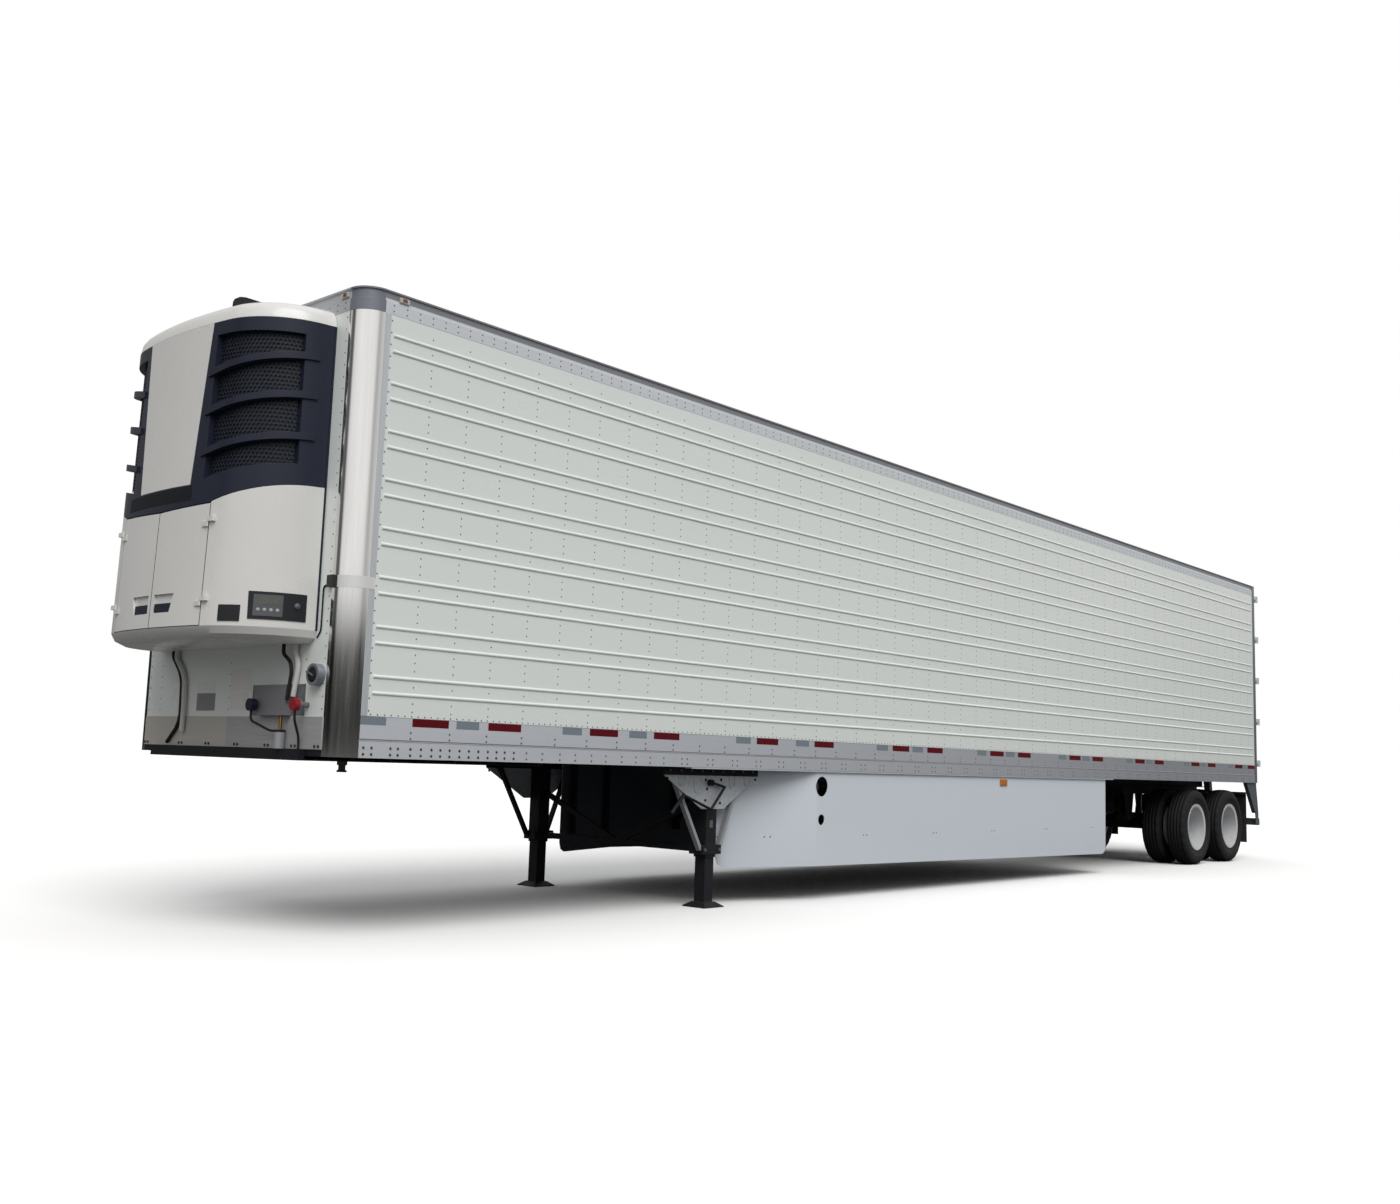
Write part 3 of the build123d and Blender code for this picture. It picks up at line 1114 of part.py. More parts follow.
# strap round the left corner post, with a small junction block at its front end
STRAP_LOW = 2175.0
STRAP_HIGH = 2250.0
STRAP_SKIN = 3.0
STRAP_REACH = 40.0
JUNCTION_IN = FLAT_HALF - 20.0
JUNCTION_OUT = FLAT_HALF + 45.0
JUNCTION_DEEP = 28.0
post_low = (FLAT_HALF, CORNER_R, STRAP_LOW)
post_high = (FLAT_HALF, CORNER_R, STRAP_HIGH)
post_round = rod(post_low, post_high, CORNER_R)
strap = rod(post_low, post_high, CORNER_R + STRAP_SKIN) - post_round
strap = strap & span(FLAT_HALF, FAR, -FAR, CORNER_R, STRAP_LOW, STRAP_HIGH)
strap = strap + span(SKIN_HALF, SKIN_HALF + STRAP_SKIN, CORNER_R, CORNER_R + STRAP_REACH, STRAP_LOW, STRAP_HIGH)
junction = span(JUNCTION_IN, JUNCTION_OUT, -JUNCTION_DEEP, CORNER_R / 2, STRAP_LOW, STRAP_HIGH) - post_round
junction = junction - span(-FAR, FLAT_HALF, 0, FAR, STRAP_LOW, STRAP_HIGH)
save("front_fittings", nose_box, air_coupling(EMERGENCY_X, 0), socket, vent, joined([strap, junction]))

# Conduits from the unit's pan down the front wall, lying on it, and the leads round the nose box
CONDUIT_R = 17.0
CABLE_R = 12.0
LEAD_R = 8.0
WIRE_R = 5.0
CONDUIT_Y = -KICK_THICK - CONDUIT_R - RUN_GAP
CABLE_Y = -KICK_THICK - CABLE_R - RUN_GAP
OVER_Y = CONDUIT_Y - CONDUIT_R - CABLE_R - RUN_GAP
# columns: radius, distance before the wall, route as x and height under the pan
CONDUITS = (
    (CONDUIT_R, CONDUIT_Y, ((-707.0, 0.0), (-707.0, -50.0), (-575.0, -175.0), (-558.0, -400.0), (-562.0, -560.0))),
    (CABLE_R, CABLE_Y, ((-769.0, 0.0), (-769.0, -40.0), (-625.0, -180.0), (-607.0, -500.0), (-772.0, -638.0))),
    (CONDUIT_R, CONDUIT_Y, ((806.0, 0.0), (806.0, -50.0), (850.0, -130.0), (814.0, -331.0))),
    (CABLE_R, OVER_Y, ((715.0, 0.0), (715.0, -60.0), (805.0, -115.0), (825.0, -175.0), (790.0, -355.0))),
)
hand_y = -HAND_FRONT + HAND_THICK / 2
hand_low = HAND_Z - HAND_DISC
lead_z = SOCKET_HIGH - LEAD_R
bar_y = -KICK_THICK - 2 * LEAD_R
wire_y = -WIRE_R - RUN_GAP
wire_z = STRAP_LOW + 15.0
# columns: radius, route as x, y and height
LEADS = (
    (
        LEAD_R,
        (
            (SERVICE_X, hand_y, hand_low),
            (SERVICE_X, hand_y, hand_low - 60.0),
            (SOCKET_X - 115.0, socket_y, lead_z),
            (SOCKET_X - SOCKET_R, socket_y, lead_z),
        ),
    ),
    (
        LEAD_R,
        (
            (EMERGENCY_X, hand_y, hand_low),
            (EMERGENCY_X, hand_y, hand_low - 55.0),
            (EMERGENCY_X - 45.0, bar_y, NOSE_BAR_TOP + 70.0),
            (EMERGENCY_X - 45.0, bar_y, NOSE_BAR_TOP),
        ),
    ),
    (
        WIRE_R,
        (
            (JUNCTION_IN, wire_y, wire_z),
            (JUNCTION_IN - 63.0, wire_y, wire_z),
            (JUNCTION_IN - 63.0, wire_y, UNIT_SEAM),
            (JUNCTION_IN - 102.0, wire_y, UNIT_SEAM - 40.0),
        ),
    ),
)
routes = [(radius, [(x, y, UNIT_BOTTOM + z) for x, z in route]) for radius, y, route in CONDUITS]
routes += LEADS
ARC_SHARE = 0.4
tubes = []
for radius, route in routes:
    points = [Vector(*point) for point in route]
    radii = []
    for before, here, after in zip(points[:-2], points[1:-1], points[2:]):
        bend_angle = (here - before).get_angle(after - here) * pi / 180
        shorter = min((here - before).length, (after - here).length)
        radii.append(ARC_SHARE * shorter / tan(bend_angle / 2))
    tube = pipe(points, radii, radius)
    tubes.append(tube)
    print("conduit arcs", [round(value) for value in radii], "volume", round(tube.volume))
# thin wires from the nose box into the socket
CORE_R = 3.5
CORE_STEP = 13.0
for step in (-1, 0, 1):
    x = SOCKET_X + step * CORE_STEP
    tubes.append(rod((x, socket_y, SOCKET_HIGH), (x, socket_y, PLATE_LOW), CORE_R))
save("conduits", *tubes)

# Lamps: amber at the front corners, high on the sides and on the skirts, red at the rear
LAMP_HALF = 38.0
LAMP_HIGH = 16.0
LAMP_OUT = 14.0
LAMP_Z = TOP_RAIL_BOTTOM + 111.0
LAMP_STEP = 7.0
HEADER_LAMP = FLAT_HALF - 60.0
SIDE_LAMP = CORNER_R + 140.0
SKIRT_LAMP_Y = SKIRT_REAR - 2535.0
SKIRT_LAMP_Z = SKIRT_TOP - 60.0
lamp_z = (LAMP_Z - LAMP_HIGH, LAMP_Z + LAMP_HIGH)
rail_face = SKIN_HALF - LAMP_STEP
skirt_face = SKIRT_X + SKIRT
skirt_z = (SKIRT_LAMP_Z - LAMP_HIGH, SKIRT_LAMP_Z + LAMP_HIGH)
amber = [
    span(HEADER_LAMP - LAMP_HALF, HEADER_LAMP + LAMP_HALF, LAMP_STEP - LAMP_OUT, LAMP_STEP, *lamp_z),
    span(rail_face, rail_face + LAMP_OUT, SIDE_LAMP - LAMP_HALF, SIDE_LAMP + LAMP_HALF, *lamp_z),
    span(skirt_face, skirt_face + LAMP_OUT, SKIRT_LAMP_Y - LAMP_HALF, SKIRT_LAMP_Y + LAMP_HALF, *skirt_z),
]
save("amber_lamps", *[both(lamp) for lamp in amber])
TAIL_R = 52.0
TAIL_Z = RAIL_BOTTOM + 86.0
TAIL_DEEP = 20.0
TAIL_X = (POST_INNER - 245.0, POST_INNER - 130.0)
TOP_LAMPS = (-400.0, 0.0, 400.0)
red = []
for x in TAIL_X:
    red += both(rod((x, FRAME_REAR, TAIL_Z), (x, FRAME_REAR + TAIL_DEEP, TAIL_Z), TAIL_R))
lamp_back = FRAME_REAR + LAMP_OUT
lamp_low = ROOF_EDGE - 3 * LAMP_HIGH
for x in TOP_LAMPS:
    red.append(span(x - LAMP_HALF, x + LAMP_HALF, FRAME_REAR, lamp_back, lamp_low, lamp_low + 2 * LAMP_HIGH))
save("red_lamps", *red)
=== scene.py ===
import math
from itertools import product

import bmesh
import bpy
from mathutils import Matrix, Vector
from mathutils.geometry import intersect_point_line


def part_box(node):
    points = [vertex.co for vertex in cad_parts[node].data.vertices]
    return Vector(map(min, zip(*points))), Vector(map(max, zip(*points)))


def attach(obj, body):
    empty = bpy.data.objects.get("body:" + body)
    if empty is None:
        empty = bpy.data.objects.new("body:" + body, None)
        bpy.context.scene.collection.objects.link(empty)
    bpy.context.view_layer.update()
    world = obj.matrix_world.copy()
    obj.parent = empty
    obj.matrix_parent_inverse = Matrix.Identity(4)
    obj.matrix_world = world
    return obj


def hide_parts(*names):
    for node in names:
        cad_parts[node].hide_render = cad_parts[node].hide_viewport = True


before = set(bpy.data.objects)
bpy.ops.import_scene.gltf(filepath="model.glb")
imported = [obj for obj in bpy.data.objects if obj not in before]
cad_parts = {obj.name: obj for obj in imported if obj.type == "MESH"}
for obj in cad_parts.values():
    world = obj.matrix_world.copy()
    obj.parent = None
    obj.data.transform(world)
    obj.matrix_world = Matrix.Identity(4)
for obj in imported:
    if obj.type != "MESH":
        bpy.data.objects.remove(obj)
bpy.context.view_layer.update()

# Studio round the trailer: a pale floor that takes its shadow, a white surround and
# soft light from high on the front left, with the camera low ahead of the left front corner.
scene = bpy.context.scene
scene.view_settings.view_transform = "Standard"
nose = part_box("front_wall")[0].y


def new_object(name, data):
    """Object with its data, linked into the scene."""
    made = bpy.data.objects.new(name, data)
    scene.collection.objects.link(made)
    return made


# camera place as x, station and height, and its yaw, pitch and roll in degrees
CAMERA_PLACE = (8.2789, -4.6588, 1.1685)
CAMERA_ANGLES = (41.3513, 6.8574, 1.8475)
camera_data = bpy.data.cameras.new("corner_view")
camera_data.lens = 34.265
camera_data.sensor_width = 36.0
camera_data.clip_end = 600.0
camera = new_object("corner_view", camera_data)
scene.camera = camera
yaw, pitch, roll = (math.radians(angle) for angle in CAMERA_ANGLES)
ahead = Vector((-math.sin(yaw) * math.cos(pitch), math.cos(yaw) * math.cos(pitch), math.sin(pitch)))
level = ahead.cross(Vector((0, 0, 1))).normalized()
upright = level.cross(ahead)
right = math.cos(roll) * level + math.sin(roll) * upright
up = -math.sin(roll) * level + math.cos(roll) * upright
turn = Matrix((right, up, -ahead)).transposed().to_4x4()
camera.matrix_world = Matrix.Translation((CAMERA_PLACE[0], nose + CAMERA_PLACE[1], CAMERA_PLACE[2])) @ turn


def add_node(tree, kind, inputs=None, **settings):
    """New node; inputs maps each socket to a value, or to the output that feeds it."""
    made = tree.nodes.new(kind)
    for label, value in settings.items():
        setattr(made, label, value)
    for socket, value in (inputs or {}).items():
        if isinstance(value, bpy.types.NodeSocket):
            tree.links.new(value, made.inputs[socket])
        else:
            made.inputs[socket].default_value = value
    return made


def maths(tree, operation, *values, kind="ShaderNodeMath", **settings):
    """Result of a maths node on values or outputs."""
    return add_node(tree, kind, dict(enumerate(values)), operation=operation, **settings).outputs[0]


def split(tree, vector):
    """X, Y and Z outputs of a vector."""
    return add_node(tree, "ShaderNodeSeparateXYZ", {0: vector}).outputs


def blend(tree, mask, below, above, blend_type="MIX"):
    """Colour laid over another by a mask."""
    inputs = {"Factor": mask, "A": below, "B": above}
    mixed = add_node(tree, "ShaderNodeMix", inputs, data_type="RGBA", blend_type=blend_type)
    return mixed.outputs["Result"]


def mix_shaders(tree, mask, below, above):
    """Shader shown in place of another by a mask."""
    inputs = {"Fac": mask, 1: below.outputs[0], 2: above.outputs[0]}
    return add_node(tree, "ShaderNodeMixShader", inputs)


def tone_ramp(tree, value, stops):
    """Grey tones along a value; stops are (position, tone)."""
    ramp = add_node(tree, "ShaderNodeValToRGB", {"Fac": value})
    elements = ramp.color_ramp.elements
    while len(elements) < len(stops):
        elements.new(0.5)
    for element, (position, tone) in zip(elements, stops):
        element.position = position
        element.color = (tone, tone, tone, 1)
    return ramp.outputs["Color"]


def plainly_seen(tree):
    """Light path node, and a mask of the rays that come from the camera or through glass."""
    rays = add_node(tree, "ShaderNodeLightPath")
    return rays, maths(tree, "MAXIMUM", rays.outputs["Is Camera Ray"], rays.outputs["Is Transmission Ray"])


world = bpy.data.worlds.new("white_surround")
scene.world = world
world.use_nodes = True
sky = world.node_tree
sky.nodes.clear()
sky_rays, sky_seen = plainly_seen(sky)
direction = add_node(sky, "ShaderNodeTexCoord")
compass = split(sky, direction.outputs["Generated"])
bearing = maths(sky, "ARCTAN2", compass["X"], compass["Y"])
bearing_share = add_node(
    sky, "ShaderNodeMapRange", {"Value": bearing, "From Min": -math.pi, "From Max": math.pi}
)
# studio walls as the bright metal shows them; columns: share of a full turn, tone
WALL_TONES = (
    (0.0, 0.90), (0.03, 0.85), (0.06, 0.10), (0.10, 0.16), (0.115, 0.85), (0.13, 0.20), (0.30, 0.45),
    (0.50, 0.80), (0.65, 0.80), (0.72, 0.50), (0.76, 0.92), (0.80, 1.0), (0.96, 1.0), (0.985, 0.95),
)
# tones over height in the bright metal, then of the light; columns: upward share, tone
MIRROR_TONES = ((0.0, 0.03), (0.075, 0.06), (0.095, 0.60), (0.115, 0.95))
DAYLIGHT_TONES = ((0.0, 0.22), (0.35, 0.62), (1.0, 0.80))
wall_tones = tone_ramp(sky, bearing_share.outputs[0], WALL_TONES)
mirror_tones = blend(sky, 1.0, wall_tones, tone_ramp(sky, compass["Z"], MIRROR_TONES), "MULTIPLY")
mirrored = add_node(sky, "ShaderNodeBackground", {"Color": mirror_tones})
daylight_tones = tone_ramp(sky, compass["Z"], DAYLIGHT_TONES)
daylight = add_node(sky, "ShaderNodeBackground", {"Color": daylight_tones})
plain = add_node(sky, "ShaderNodeBackground", {"Color": (1, 1, 1, 1)})
lit = mix_shaders(sky, sky_rays.outputs["Is Glossy Ray"], daylight, mirrored)
seen_mix = mix_shaders(sky, sky_seen, lit, plain)
add_node(sky, "ShaderNodeOutputWorld", {"Surface": seen_mix.outputs[0]})

SUN_WAY = (-0.55, 0.38, -0.80)
sun_data = bpy.data.lights.new("soft_sun", "SUN")
sun_data.energy = 1.85
sun_data.angle = math.radians(42)
sun_data.color = (1.0, 0.99, 0.97)
sun = new_object("soft_sun", sun_data)
sun.rotation_euler = Vector(SUN_WAY).to_track_quat("-Z", "Y").to_euler()

FLOOR_REACH = 250.0
FLOOR_CORNERS = ((-1, -1), (1, -1), (1, 1), (-1, 1))
FLOOR_PALE = (0.97, 0.97, 0.97, 1)
FLOOR_DULL = (0.13, 0.13, 0.13, 1)
floor_mesh = bpy.data.meshes.new("studio_floor")
floor_mesh.from_pydata([(FLOOR_REACH * x, FLOOR_REACH * y, 0) for x, y in FLOOR_CORNERS], [], [(0, 1, 2, 3)])
studio_floor = new_object("studio_floor", floor_mesh)
floor_paint = bpy.data.materials.new("studio_floor")
floor_paint.use_nodes = True
floor_tree = floor_paint.node_tree
floor_tree.nodes.clear()
pale = add_node(floor_tree, "ShaderNodeBsdfDiffuse", {"Color": FLOOR_PALE})
dull = add_node(floor_tree, "ShaderNodeBsdfDiffuse", {"Color": FLOOR_DULL})
floor_mix = mix_shaders(floor_tree, plainly_seen(floor_tree)[1], dull, pale)
add_node(floor_tree, "ShaderNodeOutputMaterial", {"Surface": floor_mix.outputs[0]})
floor_mesh.materials.append(floor_paint)


# Floor and cross beams: extruded aluminium duct floor on a pan, with an I-beam every foot.
# The beams hang bare under the pan and carry a film of road dust.
def shader_group(name, inputs, outputs):
    """New shader node group with named inputs and outputs."""
    tree = bpy.data.node_groups.new(name, "ShaderNodeTree")
    for label, kind, value in inputs:
        tree.interface.new_socket(label, in_out="INPUT", socket_type=kind).default_value = value
    for label in outputs:
        tree.interface.new_socket(label, in_out="OUTPUT", socket_type="NodeSocketFloat")
    return tree, tree.nodes.new("NodeGroupInput").outputs, tree.nodes.new("NodeGroupOutput").inputs


grain, grain_in, grain_out = shader_group(
    "sheet_grain",
    [
        ("Scale", "NodeSocketFloat", 20.0), ("Stretch", "NodeSocketVector", (1, 1, 1)),
        ("Contrast", "NodeSocketFloat", 1.0),
    ],
    ["Mask", "Height"],
)
place = add_node(grain, "ShaderNodeTexCoord").outputs["Object"]
stretched = maths(grain, "MULTIPLY", place, grain_in["Stretch"], kind="ShaderNodeVectorMath")
cloud = add_node(
    grain, "ShaderNodeTexNoise",
    {"Vector": stretched, "Scale": grain_in["Scale"], "Detail": 5.0, "Roughness": 0.6},
).outputs["Fac"]
centred = maths(grain, "SUBTRACT", cloud, 0.5)
spread = maths(grain, "MULTIPLY_ADD", centred, grain_in["Contrast"], 0.5, use_clamp=True)
grain.links.new(spread, grain_out["Mask"])
grain.links.new(cloud, grain_out["Height"])

film, film_in, film_out = shader_group(
    "road_film",
    [
        ("Low", "NodeSocketFloat", 0.0), ("High", "NodeSocketFloat", 1.2), ("Amount", "NodeSocketFloat", 0.3),
    ],
    ["Mask"],
)
film_place = add_node(film, "ShaderNodeTexCoord").outputs["Object"]
fade = add_node(
    film, "ShaderNodeMapRange",
    {
        "Value": split(film, film_place)["Z"], "From Min": film_in["Low"], "From Max": film_in["High"],
        "To Min": 1.0, "To Max": 0.0,
    },
    interpolation_type="SMOOTHSTEP",
)
film_cloud = add_node(film, "ShaderNodeTexNoise", {"Vector": film_place, "Scale": 7.0, "Detail": 6.0})
film_mix = maths(film, "MULTIPLY", fade.outputs[0], film_cloud.outputs["Fac"])
film.links.new(maths(film, "MULTIPLY", film_mix, film_in["Amount"], use_clamp=True), film_out["Mask"])

zone, zone_in, zone_out = shader_group(
    "paint_zone",
    [("Low", "NodeSocketVector", (0, 0, 0)), ("High", "NodeSocketVector", (1, 1, 1))],
    ["Mask"],
)
zone_place = add_node(zone, "ShaderNodeTexCoord").outputs["Object"]
over = maths(zone, "SUBTRACT", zone_place, zone_in["Low"], kind="ShaderNodeVectorMath")
under = maths(zone, "SUBTRACT", zone_in["High"], zone_place, kind="ShaderNodeVectorMath")
nearest = maths(zone, "MINIMUM", over, under, kind="ShaderNodeVectorMath")
zone_sides = split(zone, nearest)
least = maths(zone, "MINIMUM", zone_sides["X"], zone_sides["Y"])
least_all = maths(zone, "MINIMUM", least, zone_sides["Z"])
zone.links.new(maths(zone, "GREATER_THAN", least_all, 0.0), zone_out["Mask"])

ROAD_DUST = (0.20, 0.19, 0.175)
GRAIN_CONTRAST = 2.2
INWARD = -0.3


def surface(
    name, colour, second, rough, metal=0.0, scale=20.0, stretch=(1, 1, 1), bump=0.0, dust=None, coat=0.0,
    spec=0.5, zones=(), inner=None, rearward=None,
):
    """Finish of two mixed tones, uneven gloss and fine relief, with painted zones, darkening towards the
    rear, painted shade on inward faces and low dust.
    """
    finish = bpy.data.materials.new(name)
    finish.use_nodes = True
    tree = finish.node_tree
    shader = tree.nodes["Principled BSDF"].inputs
    shader["Metallic"].default_value = metal
    shader["Coat Weight"].default_value = coat
    shader["Specular IOR Level"].default_value = spec
    texture = add_node(
        tree, "ShaderNodeGroup", {"Scale": scale, "Stretch": stretch, "Contrast": GRAIN_CONTRAST},
        node_tree=grain,
    ).outputs
    tint = blend(tree, texture["Mask"], (*colour, 1), (*second, 1))
    gloss = add_node(
        tree, "ShaderNodeMapRange", {"Value": texture["Mask"], "To Min": rough[0], "To Max": rough[1]}
    )
    layers = []
    for low, high, paint in zones:
        area = add_node(tree, "ShaderNodeGroup", {"Low": low, "High": high}, node_tree=zone)
        layers.append((area.outputs["Mask"], paint))
    if rearward or inner:
        spot_sides = split(tree, add_node(tree, "ShaderNodeTexCoord").outputs["Object"])
    if rearward:
        start, end, paint = rearward
        rear_darkening = add_node(
            tree, "ShaderNodeMapRange", {"Value": spot_sides["Y"], "From Min": start, "From Max": end}
        )
        layers.append((rear_darkening.outputs[0], paint))
    if inner:
        normal_sides = split(tree, add_node(tree, "ShaderNodeNewGeometry").outputs["Normal"])
        outward = maths(tree, "MULTIPLY", normal_sides["X"], spot_sides["X"])
        layers.append((maths(tree, "LESS_THAN", outward, INWARD), inner))
    if dust:
        settled = dict(zip(("Low", "High", "Amount"), dust))
        layers.append((add_node(tree, "ShaderNodeGroup", settled, node_tree=film).outputs["Mask"], ROAD_DUST))
    for mask, paint in layers:
        tint = blend(tree, mask, tint, (*paint, 1))
    tree.links.new(tint, shader["Base Color"])
    tree.links.new(gloss.outputs[0], shader["Roughness"])
    if bump:
        relief = add_node(
            tree, "ShaderNodeBump", {"Strength": 1.0, "Distance": bump, "Height": texture["Height"]}
        )
        tree.links.new(relief.outputs["Normal"], shader["Normal"])
    return finish


SEAM_REACH = 0.00002
EDGE_ANGLE = math.radians(40)
CREASE_ANGLE = math.radians(35)


def dress(finish, *names, edge=0.0):
    """Gives solids their finish, with merged seams, smooth curves and a small edge radius."""
    for name in names:
        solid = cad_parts[name]
        solid.data.materials.clear()
        solid.data.materials.append(finish)
        solid.data.polygons.foreach_set("use_smooth", [True] * len(solid.data.polygons))
        for layer in ("custom_normal", "sharp_edge", "sharp_face"):
            if layer in solid.data.attributes:
                solid.data.attributes.remove(solid.data.attributes[layer])
        weld = solid.modifiers.new("seams", "WELD")
        weld.merge_threshold = SEAM_REACH
        if edge:
            bevel = solid.modifiers.new("edge_radius", "BEVEL")
            bevel.width = edge
            bevel.segments = 2
            bevel.limit_method = "ANGLE"
            bevel.angle_limit = EDGE_ANGLE
            bevel.harden_normals = True
        creases = solid.modifiers.new("creases", "EDGE_SPLIT")
        creases.split_angle = CREASE_ANGLE


duct_aluminium = surface(
    "duct_aluminium", (0.60, 0.61, 0.62), (0.50, 0.51, 0.52), (0.35, 0.5), metal=1.0, scale=6.0,
    stretch=(14, 0.3, 14),
)
beam_aluminium = surface(
    "beam_aluminium", (0.30, 0.31, 0.32), (0.21, 0.215, 0.22), (0.45, 0.65), metal=0.6, scale=9.0,
    stretch=(0.4, 6, 6), dust=(0.9, 1.4, 0.8),
)
dress(duct_aluminium, "floor")
dress(beam_aluminium, "underfloor_beams")

# Chassis steel: coupler plate, kingpin, body rails, slider and suspension.
# Welded steel under black chassis paint, greyed with road dust; the kingpin is bare forged steel.
chassis_black = surface(
    "chassis_black", (0.008, 0.009, 0.013), (0.016, 0.017, 0.022), (0.38, 0.6), scale=45.0, bump=0.0005,
    dust=(0.1, 1.3, 0.06), spec=0.22,
)
forged_steel = surface(
    "forged_steel", (0.17, 0.16, 0.15), (0.10, 0.095, 0.09), (0.35, 0.6), metal=0.9, scale=60.0, bump=0.0004
)
bellows_rubber = surface(
    "bellows_rubber", (0.012, 0.012, 0.013), (0.022, 0.022, 0.024), (0.55, 0.8), scale=70.0, bump=0.0005,
    dust=(0.4, 1.2, 0.3), spec=0.2,
)
dress(chassis_black, "upper_coupler", "body_rails", "slider_frame", "trailing_arms", "axles", edge=0.002)
dress(chassis_black, "shock_absorbers", "air_brake_gear")
dress(forged_steel, "kingpin")
dress(bellows_rubber, "air_springs")


# Twin wheels: radial tyres with four grooves and shoulder sipes, on white steel disc wheels.
# Ten flanged nuts hold each pair on its hub, which carries an oil cap.
def link_piece(name, mesh, finish, body="trailer"):
    """Puts a finished mesh in the scene on its body."""
    mesh.materials.clear()
    mesh.materials.append(finish)
    piece = new_object(name, mesh)
    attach(piece, body)
    return piece


def close_mesh(name, bm, smooth=False, merge=0.0):
    """Merges doubles where asked, points the faces outwards and makes the mesh."""
    if merge:
        bmesh.ops.remove_doubles(bm, verts=bm.verts, dist=merge)
    bmesh.ops.recalc_face_normals(bm, faces=bm.faces)
    for face in bm.faces:
        face.smooth = smooth
    mesh = bpy.data.meshes.new(name)
    bm.to_mesh(mesh)
    bm.free()
    return mesh


def lathe(bm, outline, centre, axis, steps, relief=None):
    """Closed ring or cap: an outline of (reach, radius) turned about an axis through a centre."""
    axis = Vector(axis).normalized()
    side = axis.orthogonal().normalized()
    other = axis.cross(side)
    rings = []
    for step in range(steps):
        angle = 2 * math.pi * step / steps
        out = math.cos(angle) * side + math.sin(angle) * other
        ring = []
        for index, (reach, radius) in enumerate(outline):
            change = relief(step, index) if relief else 0.0
            ring.append(bm.verts.new(Vector(centre) + axis * reach + out * max(radius + change, 0.0)))
        rings.append(ring)
    for ring, after in zip(rings, rings[1:] + rings[:1]):
        for index in range(len(outline)):
            follow = (index + 1) % len(outline)
            bm.faces.new((ring[index], ring[follow], after[follow], after[index]))


TURN_MERGE = 0.00001
TYRE_STEPS = 144
TYRE_OFFSET = 0.1715
# half of the tyre's outline from the middle of the tread to the bead; columns: reach, radius
tyre_half = (
    (0.016, 0.508), (0.018, 0.497), (0.027, 0.497), (0.029, 0.5075), (0.058, 0.5055), (0.060, 0.495),
    (0.069, 0.494), (0.071, 0.504), (0.094, 0.499), (0.108, 0.492), (0.118, 0.479), (0.125, 0.460),
    (0.130, 0.438), (0.1315, 0.418), (0.130, 0.402), (0.1315, 0.399), (0.1315, 0.395), (0.128, 0.391),
    (0.123, 0.368), (0.116, 0.345), (0.110, 0.330), (0.1085, 0.322), (0.106, 0.3135), (0.1045, 0.300),
    (0.103, 0.2862),
)
tyre_outline = list(tyre_half) + [(-reach, radius) for reach, radius in reversed(tyre_half)]
RIB_END = 8
SHOULDER_END = 11
SIPE_PITCH = 6
SIPE_WIDTH = 2
SIPE_DEPTH = 0.008


def sipes(step, index):
    """Cross cuts in the outer ribs of the tread."""
    place_in = min(index, len(tyre_outline) - 1 - index)
    if RIB_END <= place_in < SHOULDER_END and step % SIPE_PITCH < SIPE_WIDTH:
        return -SIPE_DEPTH
    return 0.0


tyre_rubber = surface(
    "tyre_rubber", (0.009, 0.009, 0.0105), (0.017, 0.017, 0.019), (0.6, 0.85), scale=55.0, bump=0.0004,
    dust=(0.0, 0.9, 0.12), spec=0.2,
)
wheel_white = surface(
    "wheel_white", (0.64, 0.65, 0.665), (0.55, 0.56, 0.57), (0.25, 0.4), scale=30.0, dust=(0.1, 0.8, 0.25),
    coat=0.3,
)
bright_nut = surface(
    "bright_nut", (0.62, 0.62, 0.61), (0.45, 0.45, 0.45), (0.25, 0.45), metal=1.0, scale=90.0
)
cap_grey = surface(
    "cap_grey", (0.06, 0.06, 0.065), (0.1, 0.1, 0.1), (0.3, 0.5), scale=50.0, dust=(0.2, 0.8, 0.2)
)
NUT_CIRCLE = 0.1429
NUT_COUNT = 10
NUT_STEPS = 12
CAP_STEPS = 36
DISC_FACE = 0.0125
